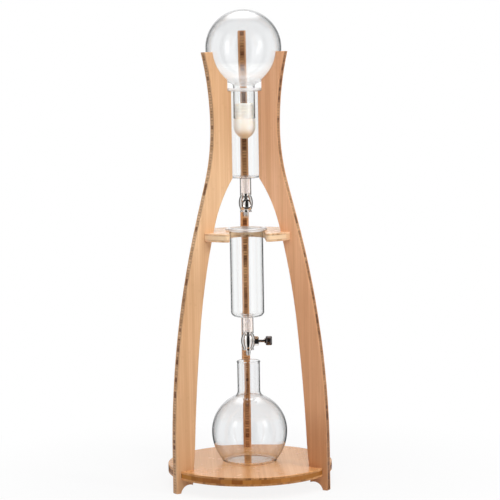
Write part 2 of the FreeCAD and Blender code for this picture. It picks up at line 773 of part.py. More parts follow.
nodes = []
for leg_name, leg_turn in LEG_ANGLES.items():
    if leg_name == "back_leg":
        nodes.append(build_leg(leg_name, leg_turn, BACK_LEG_TOP, "0"))
    else:
        nodes.append(build_leg(leg_name, leg_turn, SIDE_LEG_TOP, SIDE_LEG_TOP))
nodes += [build_base_disc(), build_middle_plate(), build_globe(), build_stopper()]
nodes += [build_tube("reservoir_tube", RESERVOIR_TOP), build_tube("chamber_tube", CHAMBER_TOP)]
nodes += build_tap("upper") + build_tap("lower")
nodes.append(build_flask())
check_and_export(nodes)
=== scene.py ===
"""Looks of a cold drip coffee tower: bamboo boards, blown glass, silicone and chromed taps.

Lengths are in metres, +Z is up, and the origin lies on the tower's axis at the level
of its feet.  Each sub-assembly is a class that makes its meshes and dresses them, and
each finish is a class that makes one material.
"""

import logging
import math
from dataclasses import dataclass, field
from enum import Enum
from typing import Callable, Optional, Union

import bmesh
import bpy
from mathutils import Matrix, Vector


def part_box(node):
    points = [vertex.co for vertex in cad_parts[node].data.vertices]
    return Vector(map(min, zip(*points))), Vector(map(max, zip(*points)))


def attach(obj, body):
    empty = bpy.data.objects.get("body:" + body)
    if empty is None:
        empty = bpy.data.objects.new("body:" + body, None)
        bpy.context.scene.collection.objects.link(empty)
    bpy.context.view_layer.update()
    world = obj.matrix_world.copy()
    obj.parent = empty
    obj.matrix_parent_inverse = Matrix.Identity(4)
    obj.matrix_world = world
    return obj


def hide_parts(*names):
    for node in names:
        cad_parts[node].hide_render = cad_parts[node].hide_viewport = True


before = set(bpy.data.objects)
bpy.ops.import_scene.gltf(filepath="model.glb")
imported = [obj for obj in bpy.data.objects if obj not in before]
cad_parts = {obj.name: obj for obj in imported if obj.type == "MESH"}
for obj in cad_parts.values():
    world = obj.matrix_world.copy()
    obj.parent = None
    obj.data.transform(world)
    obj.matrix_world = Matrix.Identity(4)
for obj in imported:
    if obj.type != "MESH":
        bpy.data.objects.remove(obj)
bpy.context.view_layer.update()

LOG = logging.getLogger("tower")
MM = 0.001
TINY = 1e-6
COLOUR_MIX_INPUTS = (0, 6, 7)
COLOUR_MIX_OUTPUT = 2

Piece = bpy.types.Object
Material = bpy.types.Material
Node = bpy.types.Node
Socket = bpy.types.NodeSocket
Input = Union[Socket, float, tuple]
Pair = tuple[float, float]
Triple = tuple[float, float, float]
Colour = tuple[float, float, float, float]


def srgb(red: int, green: int, blue: int) -> Colour:
    """Linear colour of an sRGB triple.

    Args:
        red: Red, 0 to 255.
        green: Green, 0 to 255.
        blue: Blue, 0 to 255.

    Returns:
        Red, green, blue and an alpha of 1, all linear.
    """
    def linear(level: int) -> float:
        """Linear value of one 8-bit level."""
        share = level / 255.0
        return share / 12.92 if share <= 0.04045 else ((share + 0.055) / 1.055) ** 2.4

    return linear(red), linear(green), linear(blue), 1.0


def grey(level: float) -> Colour:
    """Neutral colour of one linear level."""
    return level, level, level, 1.0


WHITE = grey(1.0)


# ---- Outlines and turned meshes ----
class Turn(Enum):
    """Side to which an outline bends, seen with the reach to the right and the height up."""

    LEFT = 1
    RIGHT = -1


@dataclass
class Profile:
    """Half section of a turned piece, as (reach, height) points in order."""

    points: list[Pair] = field(default_factory=list)

    def to(self, reach: float, height: float) -> "Profile":
        """Run straight to a point and give back the profile."""
        self.points.append((reach, height))
        return self

    def bend(self, reach: float, height: float, radius: float, steps: int,
             turn: Turn = Turn.RIGHT) -> "Profile":
        """Shorter arc of a radius from the last point to another.

        Args:
            reach: Reach of the arc's end.
            height: Height of the arc's end.
            radius: Radius of the arc.
            steps: Number of straight pieces.
            turn: Side to which it bends.

        Returns:
            The profile itself.
        """
        start = Vector(self.points[-1])
        end = Vector((reach, height))
        chord = end - start
        rise = math.sqrt(max(radius ** 2 - chord.length_squared / 4, 0.0))
        side = Vector((-chord.y, chord.x)).normalized() * turn.value
        centre = (start + end) / 2 + side * rise
        first = math.atan2(start.y - centre.y, start.x - centre.x)
        last = math.atan2(end.y - centre.y, end.x - centre.x)
        sweep = (last - first) * turn.value % math.tau * turn.value
        for step in range(1, steps):
            angle = first + sweep * step / steps
            self.points.append((centre.x + radius * math.cos(angle),
                                centre.y + radius * math.sin(angle)))
        self.points.append((reach, height))
        return self

    def corner(self, reach: float, height: float, radius: float, steps: int,
               turn: Turn = Turn.RIGHT) -> "Profile":
        """Run straight towards a right-angled corner and round it.

        Args:
            reach: Reach of the corner.
            height: Height of the corner.
            radius: Radius of the rounding.
            steps: Number of straight pieces.
            turn: Side to which the outline bends.

        Returns:
            The profile itself.
        """
        corner, last = complex(reach, height), complex(*self.points[-1])
        ahead = (corner - last) / abs(corner - last) * radius
        start, end = corner - ahead, corner + ahead * turn.value * 1j
        return self.to(start.real, start.imag).bend(end.real, end.imag, radius, steps, turn)


Ripple = Callable[[float, float, float], float]


def turned(name: str, profile: Profile, segments: int = 128, closed: bool = True,
           ripple: Optional[Ripple] = None, sharp: float = 40.0) -> Piece:
    """Mesh of a profile that is spun about the Z axis.

    Args:
        name: Name of the object.
        profile: Half section, whose points on the axis become poles.
        segments: Number of steps round the axis.
        closed: Whether the last point joins the first.
        ripple: Reach to add at a reach, a height and an angle.
        sharp: Angle in degrees above which an edge stays sharp.

    Returns:
        The new object, linked to the scene.
    """
    mesh = bmesh.new()
    rings = []
    for reach, height in profile.points:
        if reach < TINY:
            rings.append([mesh.verts.new((0.0, 0.0, height))])
            continue
        ring = []
        for step in range(segments):
            angle = math.tau * step / segments
            out = reach + (ripple(reach, height, angle) if ripple else 0.0)
            ring.append(mesh.verts.new((out * math.cos(angle), out * math.sin(angle), height)))
        rings.append(ring)
    pairs = list(zip(rings, rings[1:] + rings[:1] if closed else rings[1:]))
    for low, high in pairs:
        if len(low) == 1 and len(high) == 1:
            continue
        for step in range(segments):
            following = (step + 1) % segments
            corners = [low[step % len(low)], low[following % len(low)],
                       high[following % len(high)], high[step % len(high)]]
            mesh.faces.new(list(dict.fromkeys(corners)))
    bmesh.ops.recalc_face_normals(mesh, faces=mesh.faces)
    return finished(name, mesh, sharp)


def finished(name: str, mesh: bmesh.types.BMesh, sharp: float) -> Piece:
    """Smooth-shaded object of an edit mesh, which is freed.

    Args:
        name: Name of the object and its mesh.
        mesh: The edit mesh.
        sharp: Angle in degrees above which an edge stays sharp.

    Returns:
        The new object, linked to the scene.
    """
    data = bpy.data.meshes.new(name)
    mesh.to_mesh(data)
    mesh.free()
    data.shade_smooth()
    data.set_sharp_from_angle(angle=math.radians(sharp))
    piece = bpy.data.objects.new(name, data)
    bpy.context.scene.collection.objects.link(piece)
    return piece


# ---- Materials ----
class Graph:
    """Node tree of one material, lamp or world, with a short call for each kind of node."""

    def __init__(self, owner: Union[Material, bpy.types.Light, bpy.types.World]) -> None:
        """Start an empty tree.

        Args:
            owner: The material, lamp or world that owns the tree.
        """
        owner.use_nodes = True
        self.owner = owner
        self.tree = owner.node_tree
        self.tree.nodes.clear()

    @classmethod
    def material(cls, name: str) -> "Graph":
        """Empty tree of a new material."""
        return cls(bpy.data.materials.new(name))

    def add(self, kind: str, **settings: object) -> Node:
        """Add a node of a kind, with its settings.

        Args:
            kind: Type name of the node, without its "ShaderNode" part.
            **settings: Properties of the node.

        Returns:
            The node.
        """
        node = self.tree.nodes.new(f"ShaderNode{kind}")
        for key, setting in settings.items():
            setattr(node, key, setting)
        return node

    def put(self, target: Socket, source: Input) -> None:
        """Link a node's input to a socket, or set its constant.

        Args:
            target: The input.
            source: The socket or constant that feeds it.
        """
        if isinstance(source, Socket):
            self.tree.links.new(source, target)
        else:
            target.default_value = source

    def fill(self, node: Node, *inputs: Input, outlet: Union[int, str] = 0,
             **named: Input) -> Socket:
        """Fill a node's inputs.

        Args:
            node: The node.
            *inputs: Sockets or constants in the order of the node's inputs.
            outlet: Number or name of the output that is wanted.
            **named: Sockets or constants by input name, with "_" for a space.

        Returns:
            The output's socket.
        """
        for target, source in zip(node.inputs, inputs):
            self.put(target, source)
        for key, source in named.items():
            self.put(node.inputs[key.replace("_", " ")], source)
        return node.outputs[outlet]

    def math(self, operation: str, first: Input, second: Input = 0.0,
             third: Input = 0.0) -> Socket:
        """Result of one arithmetic operation on up to three numbers."""
        return self.fill(self.add("Math", operation=operation), first, second, third)

    def weigh(self, *terms: tuple[Input, float]) -> Socket:
        """Sum of numbers, each times its weight.

        Args:
            *terms: Each number with its weight.

        Returns:
            The sum's socket.
        """
        *others, last = terms
        total = self.math("MULTIPLY", *last)
        for number, weight in reversed(others):
            total = self.math("MULTIPLY_ADD", number, weight, total)
        return total

    def off(self, number: Input, middle: Input) -> Socket:
        """Distance between two numbers."""
        return self.math("ABSOLUTE", self.math("SUBTRACT", number, middle))

    def radius(self, across: Input, along: Input) -> Socket:
        """Distance of a point in the plane from the origin."""
        squares = [self.math("POWER", part, 2.0) for part in (across, along)]
        return self.math("SQRT", self.math("ADD", *squares))

    def span(self, source: Input, low: float, high: float, start: float = 0.0,
             end: float = 1.0) -> Socket:
        """Smooth step of a number from start to end as it goes from low to high."""
        node = self.add("MapRange", interpolation_type="SMOOTHSTEP")
        return self.fill(node, source, low, high, start, end)

    def split(self, vector: Socket) -> tuple[Socket, Socket, Socket]:
        """Take a vector apart.

        Args:
            vector: The vector.

        Returns:
            Its three numbers.
        """
        node = self.add("SeparateXYZ")
        self.fill(node, vector)
        return node.outputs[0], node.outputs[1], node.outputs[2]

    def join(self, across: Input, along: Input, up: Input = 0.0) -> Socket:
        """Vector of three numbers."""
        return self.fill(self.add("CombineXYZ"), across, along, up)

    def noise(self, vector: Socket, scale: float, detail: float = 3.0,
              roughness: float = 0.55, distortion: float = 0.0) -> Socket:
        """Soft noise, 0 to 1."""
        return self.fill(self.add("TexNoise"), outlet="Fac", Vector=vector, Scale=scale,
                         Detail=detail, Roughness=roughness, Distortion=distortion)

    def chance(self, vector: Socket) -> Socket:
        """Random number, 0 to 1, that is the same for equal vectors."""
        node = self.add("TexWhiteNoise", noise_dimensions="3D")
        return self.fill(node, outlet="Value", Vector=vector)

    def ramp(self, factor: Socket, stops: dict[float, Colour]) -> Socket:
        """Colour along a ramp.

        Args:
            factor: Place on the ramp, 0 to 1.
            stops: Colour at each place.

        Returns:
            The colour's socket.
        """
        node = self.add("ValToRGB")
        elements = node.color_ramp.elements
        while len(elements) < len(stops):
            elements.new(0.5)
        for element, (place, colour) in zip(elements, sorted(stops.items())):
            element.position = place
            element.color = colour
        return self.fill(node, factor)

    def mix(self, factor: Input, first: Input, second: Input, blend: str = "MIX") -> Socket:
        """Mix two colours.

        Args:
            factor: Share of the second, 0 to 1.
            first: The first colour.
            second: The second colour.
            blend: Way in which the second acts on the first.

        Returns:
            The mixed colour's socket.
        """
        node = self.add("Mix", data_type="RGBA", blend_type=blend)
        for slot, source in zip(COLOUR_MIX_INPUTS, (factor, first, second)):
            self.put(node.inputs[slot], source)
        return node.outputs[COLOUR_MIX_OUTPUT]

    def tint(self, factor: Input, colour: Input, tint: Input) -> Socket:
        """Colour, times a tint where the factor is 1."""
        return self.mix(factor, colour, self.mix(1.0, colour, tint, "MULTIPLY"))

    def place(self) -> Socket:
        """Point on the piece, in metres from its own origin."""
        return self.add("TexCoord").outputs["Object"]

    def facing(self) -> Socket:
        """Direction in which the surface faces, in the piece's own frame."""
        return self.add("TexCoord").outputs["Normal"]

    def ray(self, kind: str) -> Socket:
        """Number that says of a ray whether it is of a kind, or how deep."""
        return self.add("LightPath").outputs[kind]

    def reflected(self) -> Socket:
        """1 for rays that a bright surface sent on, otherwise 0."""
        return self.math("MINIMUM", self.ray("Glossy Depth"), 1.0)

    def bump(self, height: Socket, depth: float, strength: float = 1.0) -> Socket:
        """Normal that a height gives.

        Args:
            height: Height of the surface, 0 to 1.
            depth: Depth in metres that a height of 1 stands for.
            strength: Share of the effect.

        Returns:
            The normal's socket.
        """
        return self.fill(self.add("Bump"), Strength=strength, Distance=depth, Height=height)

    def close(self, output: str, shader: Socket) -> Union[Material, bpy.types.World]:
        """Link a shader to the tree's output and give back the tree's owner."""
        self.put(self.add(output).inputs["Surface"], shader)
        return self.owner

    def surface(self, **inputs: Input) -> Material:
        """Close the tree with one surface shader, filled by input name."""
        return self.close("OutputMaterial", self.fill(self.add("BsdfPrincipled"), **inputs))


class Lay(Enum):
    """How a board lies: on edge like a leg, or flat like a shelf."""

    UPRIGHT = "upright"
    FLAT = "flat"


@dataclass(frozen=True)
class Strips:
    """Marks of the strips that one ply is glued up from, each 0 to 1."""

    tone: Socket
    joint: Socket
    streak: Socket
    knuckle: Socket


@dataclass(frozen=True)
class Bamboo:
    """Lacquered three-ply bamboo board, solid through its thickness.

    The two face plies run along the board in narrow strips.  An upright board's core
    runs across it, so its end grain shows on the long edges, and a flat board's core
    runs along it in wide strips.
    """

    node: str
    lay: Lay
    turn: float
    seed: float
    light: Colour
    mid: Colour
    dark: Colour
    end_light: Colour
    end_mid: Colour
    core_half: float = 5.1 * MM
    strip: float = 6.4 * MM
    core_strip: float = 7.0 * MM
    block: float = 13.0 * MM
    block_drift: float = 1.6
    knuckle_pitch: float = 0.29
    knuckle_edges: Pair = (0.016, 0.002)
    knuckle_share: float = 0.10
    joint_share: float = 0.32
    glue_share: float = 0.5
    bundle: float = 3.6
    sway: float = 0.5 * MM
    glue_half: float = 0.3 * MM
    fibre_run: float = 6.0
    fibre_count: float = 780.0
    pore_count: float = 1100.0
    glue_edge: float = 0.1 * MM
    seam_depth: float = 0.45
    end_base: float = 0.30
    polish: Pair = (0.32, 0.46)
    relief: float = 0.6
    relief_depth: float = 0.12 * MM
    shine: float = 0.25
    coat: float = 0.4
    coat_roughness: float = 0.26
    face_stops: tuple[float, ...] = (0.26, 0.52, 0.80)
    end_stops: tuple[float, ...] = (0.36, 0.50, 0.90)
    side_stops: tuple[float, ...] = (0.15, 0.85)
    knuckle: Colour = srgb(186, 126, 82)
    end_dark: Colour = srgb(84, 50, 28)
    glue: Colour = srgb(76, 44, 24)
    side_light: Colour = srgb(210, 154, 92)
    side_dark: Colour = srgb(148, 92, 42)
    # Painted light: a tint that makes a lighter band round one height. Painted shade: a tint that
    # darkens the board towards its foot.
    painted_light: Colour = (1.16, 1.27, 1.38, 1.0)
    painted_light_height: float = 0.72
    painted_light_reach: float = 0.24
    foot: Colour = WHITE
    painted_shade_heights: Pair = (0.24, 0.12)

    def board_axes(self, graph: Graph, vector: Socket) -> tuple[Socket, Socket, Socket]:
        """Take a vector apart in the board's own directions.

        Args:
            graph: Material in the making.
            vector: The vector, in the piece's directions.

        Returns:
            Its parts along the board, across it and through its thickness.
        """
        turned_back = graph.fill(graph.add("VectorRotate", rotation_type="Z_AXIS"),
                                 Vector=vector, Angle=-math.radians(self.turn))
        first, second, third = graph.split(turned_back)
        if self.lay is Lay.UPRIGHT:
            return third, first, second
        low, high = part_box(self.node)
        return first, second, graph.math("SUBTRACT", third, (low.z + high.z) / 2)

    def strips(self, graph: Graph, along: Socket, across: Socket, ply: Input,
               width: float, seam: float = 0.38) -> Strips:
        """Marks of the strips of one ply.

        Args:
            graph: Material in the making.
            along: Place along the strips.
            across: Place across them.
            ply: Number that differs from ply to ply.
            width: Width of a strip.
            seam: Share of half a strip at which its darker edge starts.

        Returns:
            The marks.
        """
        sway = graph.noise(graph.join(along, across, ply), 9.0, 1.0)
        place = graph.math("DIVIDE", graph.math("MULTIPLY_ADD", sway, self.sway, across), width)
        index = graph.math("FLOOR", place)
        bundle = graph.math("FLOOR", graph.math("DIVIDE", place, self.bundle))
        tone = graph.weigh((graph.chance(graph.join(index, ply, self.seed)), 0.6),
                           (graph.chance(graph.join(bundle, ply, self.seed + 3.0)), 0.4))
        edge = graph.off(graph.math("FRACT", place), 0.5)
        fibre = graph.join(graph.weigh((along, self.fibre_run), (tone, 7.0)),
                           graph.math("MULTIPLY", across, self.fibre_count), ply)
        beat = graph.math("ADD", graph.math("DIVIDE", along, self.knuckle_pitch),
                          graph.chance(graph.join(ply, index, self.seed + 5.0)))
        phase = graph.off(graph.math("FRACT", beat), 0.5)
        return Strips(tone, graph.span(edge, seam, 0.5), graph.noise(fibre, 1.0, 4.0, 0.62),
                      graph.span(phase, *self.knuckle_edges))

    def end_grain(self, graph: Graph, tone: Socket, place: Socket) -> Socket:
        """Colour of cut ends, speckled with dark fibre bundles.

        Args:
            graph: Material in the making.
            tone: Tone of the strip, 0 to 1.
            place: Point on the piece.

        Returns:
            The colour's socket.
        """
        pores = graph.noise(place, self.pore_count, 2.0, 0.7)
        return graph.ramp(graph.weigh((pores, 0.35), (tone, 0.85)),
                          dict(zip(self.end_stops, (self.end_dark, self.end_mid, self.end_light))))

    def face_colour(self, graph: Graph, ply: Strips) -> Socket:
        """Colour of a face ply, seen on its strips' sides.

        Args:
            graph: Material in the making.
            ply: Marks of the ply's strips.

        Returns:
            The colour's socket.
        """
        face = graph.ramp(graph.weigh((ply.streak, 0.75), (ply.tone, 0.30)),
                          dict(zip(self.face_stops, (self.dark, self.mid, self.light))))
        knuckle = graph.math("MULTIPLY", ply.knuckle, self.knuckle_share)
        joint = graph.math("MULTIPLY", ply.joint, self.joint_share)
        return graph.mix(joint, graph.mix(knuckle, face, self.knuckle), self.dark)

    def core_colour(self, graph: Graph, along: Socket, across: Socket, place: Socket,
                    showing: Socket) -> Socket:
        """Colour of the core.

        Args:
            graph: Material in the making.
            along: Place along the board.
            across: Place across it.
            place: Point on the piece.
            showing: Share to which the core's ends show, 0 to 1.

        Returns:
            The colour's socket.
        """
        if self.lay is Lay.FLAT:
            along, across = across, along
        core = self.strips(graph, across, along, 9.0, self.core_strip, 0.26)
        drift = graph.noise(graph.join(along, self.seed, 0.0), 30.0, 1.0)
        drifted = graph.math("MULTIPLY_ADD", drift, self.block_drift * self.block, along)
        block = graph.math("FLOOR", graph.math("DIVIDE", drifted, self.block))
        shade = graph.chance(graph.join(block, self.seed, 2.0))
        ends = self.end_grain(graph, graph.weigh((shade, 0.45), (core.tone, 0.55)), place)
        ends = graph.mix(graph.math("MULTIPLY", core.joint, self.seam_depth), ends, self.glue)
        sides = graph.ramp(graph.weigh((core.streak, 0.35), (shade, 0.7)),
                           dict(zip(self.side_stops, (self.side_dark, self.side_light))))
        return graph.mix(showing, sides, ends)

    def drift_and_painted_light(self, graph: Graph, place: Socket, colour: Socket) -> Socket:
        """Let a colour drift slowly over the board, with painted light round one height and painted
        shade towards its foot.

        Args:
            graph: Material in the making.
            place: Point on the piece.
            colour: The colour so far.

        Returns:
            The colour's socket.
        """
        cloud = graph.ramp(graph.noise(place, 5.0, 2.0), {
            0.3: (0.95, 0.945, 0.93, 1.0), 0.7: (1.04, 1.03, 1.02, 1.0)})
        colour = graph.mix(1.0, colour, cloud, "MULTIPLY")
        height = graph.split(place)[2]
        # Painted light: lighter round one height. Painted shade: darker towards the foot.
        painted_light = graph.span(graph.off(height, self.painted_light_height), self.painted_light_reach, 0.0)
        colour = graph.tint(painted_light, colour, self.painted_light)
        return graph.tint(graph.span(height, *self.painted_shade_heights), colour, self.foot)

    def material(self) -> Material:
        """Build the board's material.

        Returns:
            The material.
        """
        graph = Graph.material(f"bamboo_{self.node}")
        place = graph.place()
        along, across, through = self.board_axes(graph, place)
        face_along, face_across, _ = self.board_axes(graph, graph.facing())
        depth = graph.math("ABSOLUTE", through)
        ply = self.strips(graph, along, across, graph.math("SIGN", through), self.strip)
        ply_end = graph.span(graph.math("ABSOLUTE", face_along), 0.5, 0.9)
        end_tone = graph.math("MULTIPLY_ADD", ply.tone, 0.35, self.end_base)
        plies = graph.mix(ply_end, self.face_colour(graph, ply),
                          self.end_grain(graph, end_tone, place))
        showing = graph.span(graph.math("ABSOLUTE", face_across), 0.35, 0.8) \
            if self.lay is Lay.UPRIGHT else graph.math("MULTIPLY", ply_end, 0.0)
        in_core = graph.span(depth, self.core_half + self.glue_edge,
                             self.core_half - self.glue_edge)
        colour = graph.mix(in_core, plies,
                           self.core_colour(graph, along, across, place, showing))
        line = graph.span(graph.off(depth, self.core_half), self.glue_half, self.glue_edge / 2)
        colour = graph.mix(graph.math("MULTIPLY", line, self.glue_share), colour, self.glue)
        colour = self.drift_and_painted_light(graph, place, colour)
        relief = graph.weigh((ply.knuckle, 0.35), (ply.joint, -0.5), (ply.streak, 0.5))
        polish = graph.span(graph.noise(place, 26.0, 3.0), 0.3, 0.7, *self.polish)
        return graph.surface(
            Base_Color=colour, Roughness=polish,
            Normal=graph.bump(relief, self.relief_depth, self.relief),
            Specular_IOR_Level=self.shine, Coat_Weight=self.coat * self.shine,
            Coat_Roughness=self.coat_roughness)


@dataclass(frozen=True)
class ClearGlass:
    """Blown borosilicate glass, faintly wavy, with painted shade that darkens it to its edge colour
    at a slant.
    """

    name: str
    tint: Colour = (0.985, 0.99, 0.99, 1.0)
    # Painted shade: the colour that the glass darkens to where it is seen at a slant, standing in
    # for the dark edges of glass.
    edge: Colour = (0.55, 0.56, 0.58, 1.0)
    ior: float = 1.47
    wave: float = 0.10 * MM
    smear: float = 0.018
    painted_shade_slants: Pair = (0.62, 0.96)
    clearness: float = 1.0

    def material(self) -> Material:
        """Build the glass.

        Returns:
            The material.
        """
        graph = Graph.material(self.name)
        swirl = graph.noise(graph.place(), 16.0, 1.0, 0.4, 0.6)
        roughness = graph.span(graph.noise(graph.place(), 38.0, 4.0), 0.45, 0.85, 0.0, self.smear)
        # Painted shade: towards the edge colour where the surface is seen at a slant.
        slant = graph.add("LayerWeight").outputs["Facing"]
        colour = graph.mix(graph.span(slant, *self.painted_shade_slants), self.tint, self.edge)
        return graph.surface(
            Base_Color=colour, Roughness=roughness, IOR=self.ior,
            Transmission_Weight=self.clearness,
            Normal=graph.bump(swirl, self.wave, 0.25))


@dataclass(frozen=True)
class Silicone:
    """Moulded translucent silicone."""

    name: str
    body: Colour
    shade: Colour
    clearness: float
    depth: float
    roughness: float = 0.36
    # Painted glow: the silicone gives off light of its own colour, though it is no lamp.
    painted_glow: float = 0.0
    ior: float = 1.41
    grain: float = 0.02 * MM
    scatter: float = 0.6
    scatter_colour: Triple = (1.0, 0.82, 0.62)
    sheen: float = 0.08
    # Painted light: a warm colour towards the dome's tip, for the wood behind seen through the
    # silicone.
    painted_warmth: Optional[Colour] = None
    painted_warmth_heights: Pair = (0.0, 0.0)

    def material(self) -> Material:
        """Build the silicone.

        Returns:
            The material.
        """
        graph = Graph.material(self.name)
        cloud = graph.noise(graph.place(), 55.0, 4.0)
        colour = graph.mix(graph.span(cloud, 0.3, 0.75), self.body, self.shade)
        # Painted light: warmer towards the tip, where the wood behind shows through.
        if self.painted_warmth:
            painted_warmth_share = graph.span(graph.split(graph.place())[2], *self.painted_warmth_heights)
            colour = graph.mix(painted_warmth_share, colour, self.painted_warmth)
        skin = graph.noise(graph.place(), 1400.0, 2.0)
        # Emission paints a glow of the silicone's own colour.
        return graph.surface(
            Base_Color=colour, Roughness=self.roughness, IOR=self.ior,
            Transmission_Weight=self.clearness, Subsurface_Weight=self.scatter,
            Subsurface_Radius=self.scatter_colour, Subsurface_Scale=self.depth,
            Sheen_Weight=self.sheen, Emission_Color=colour, Emission_Strength=self.painted_glow,
            Normal=graph.bump(skin, self.grain, 0.4))


class Axis(Enum):
    """Axis that a turned metal piece was cut about."""

    X = 0
    Y = 1
    Z = 2


@dataclass(frozen=True)
class TurnedMetal:
    """Bright metal with the fine rings that turning leaves, and light smudges."""

    name: str
    axis: Axis
    colour: Colour
    shade: Colour
    gloss: float
    haze: float
    spread: float = 0.2
    relief: float = 0.10
    ring_pitch: float = 0.35 * MM
    ring_depth: float = 0.01 * MM

    def material(self) -> Material:
        """Build the metal.

        Returns:
            The material.
        """
        graph = Graph.material(self.name)
        parts = graph.split(graph.place())
        along = graph.math("DIVIDE", parts[self.axis.value], self.ring_pitch)
        rings = graph.noise(graph.join(along, 0.0, 0.0), 1.0, 2.0)
        smudge = graph.noise(graph.place(), 160.0, 4.0, 0.6)
        roughness = graph.span(smudge, 0.3, 0.75, self.gloss, self.haze)
        colour = graph.mix(graph.span(smudge, 0.35, 0.9), self.colour, self.shade)
        round_axis = graph.add("Tangent", direction_type="RADIAL", axis=self.axis.name)
        return graph.surface(
            Base_Color=colour, Metallic=1.0, Roughness=roughness, Anisotropic=self.spread,
            Anisotropic_Rotation=0.25, Tangent=round_axis.outputs[0],
            Normal=graph.bump(rings, self.ring_depth, self.relief))


def on_each_axis(name: str, colour: Colour, shade: Colour, gloss: float, haze: float,
                 **more: float) -> dict[Axis, Material]:
    """Make one metal for pieces turned about each axis.

    Args:
        name: Name of the finish, to which the axis is added.
        colour: The metal's colour.
        shade: Its colour where it is smudged.
        gloss: Its roughness where it is clean.
        haze: Its roughness where it is smudged.
        **more: Other fields of the metal.

    Returns:
        The material for each axis.
    """
    return {axis: TurnedMetal(f"{name}_{axis.name.lower()}", axis, colour, shade, gloss, haze,
                              **more).material() for axis in Axis}


class Finishes:
    """All materials of the tower, made once."""

    haze_steps = (0.98, 0.96, 0.94, 0.92, 0.90, 0.88, 0.865, 0.85)
    # Heights above the stopper's tip between which its painted warm light fades in.
    painted_warmth_end = 7.0 * MM
    painted_warmth_start = 27.0 * MM

    def __init__(self) -> None:
        """Make every material."""
        # Each glass darkens to its edge colour at a slant, a painted shade.
        self.glass = ClearGlass("tube_glass_finish").material()
        self.round_glass = ClearGlass("round_glass_finish", (0.945, 0.95, 0.955, 1.0),
                                      edge=(0.29, 0.30, 0.31, 1.0)).material()
        self.neck_glass = ClearGlass("neck_glass_finish", edge=(0.66, 0.67, 0.68, 1.0),
                                     clearness=0.975).material()
        self.rim_glass = ClearGlass("rim_glass_finish", (0.985, 0.985, 0.98, 1.0),
                                    edge=(0.84, 0.85, 0.86, 1.0), clearness=0.50).material()
        self.hazy_glass = [
            ClearGlass(f"hazy_glass_finish_{step}", edge=(0.86, 0.86, 0.87, 1.0),
                       clearness=clearness).material()
            for step, clearness in enumerate(self.haze_steps)]
        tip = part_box("globe_stopper")[0].z
        # Both silicones carry a painted glow, and the stopper a painted warm tone towards its tip.
        self.stopper = Silicone(
            "milky_silicone_finish", srgb(255, 248, 240), srgb(248, 238, 226), clearness=0.24,
            depth=12 * MM, painted_glow=0.12, painted_warmth=srgb(234, 200, 160),
            painted_warmth_heights=(tip + self.painted_warmth_start, tip + self.painted_warmth_end)).material()
        self.seal = Silicone(
            "seal_silicone_finish", srgb(246, 235, 229), srgb(236, 224, 218), clearness=0.82,
            depth=5 * MM, roughness=0.10, painted_glow=0.20).material()
        self.chrome = on_each_axis("chrome_finish", srgb(240, 236, 232), srgb(210, 205, 200),
                                   0.06, 0.13)
        # Painted shade: a darker copy of the chrome for the knurled grip.
        self.grip = on_each_axis("shaded_grip_chrome_finish", srgb(124, 120, 120), srgb(100, 96, 96),
                                 0.10, 0.20, spread=0.0, relief=0.0)
        self.steel = on_each_axis("steel_finish", srgb(214, 214, 214), srgb(180, 181, 184),
                                  0.12, 0.24)


def wear(piece: Piece, material: Material) -> None:
    """Give a piece one material.

    Args:
        piece: The object.
        material: Its material.
    """
    piece.data.materials.clear()
    piece.data.materials.append(material)


def wear_where(piece: Piece, material: Material,
               chosen: Callable[[Vector], bool]) -> None:
    """Give a part of a piece a further material.

    Args:
        piece: The object.
        material: The further material.
        chosen: Says of a face's centre whether the face wears it.
    """
    piece.data.materials.append(material)
    last = len(piece.data.materials) - 1
    for face in piece.data.polygons:
        if chosen(face.center):
            face.material_index = last


def dress_node(node: str, material: Material) -> None:
    """Give a construction node one material.

    Args:
        node: Name of the node.
        material: Its material.
    """
    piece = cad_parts[node]
    piece.data.materials.clear()
    piece.data.materials.append(material)
    LOG.info("dressed %s with %s", node, material.name)


def stand_for(piece: Piece, node: str, body: str) -> None:
    """Let a new piece ride on a body in the place of a construction node.

    Args:
        piece: The new object.
        node: The node that it replaces.
        body: The body that it rides on.
    """
    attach(piece, body)
    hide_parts(node)
    LOG.info("built %s, %d faces, for %s", piece.name, len(piece.data.polygons), node)


# ---- Sub-assemblies ----
SHELF_MAKE = {"core_strip": 26 * MM, "block": 24 * MM, "end_base": 0.25, "relief": 0.10,
              "polish": (0.23, 0.28), "shine": 0.14}


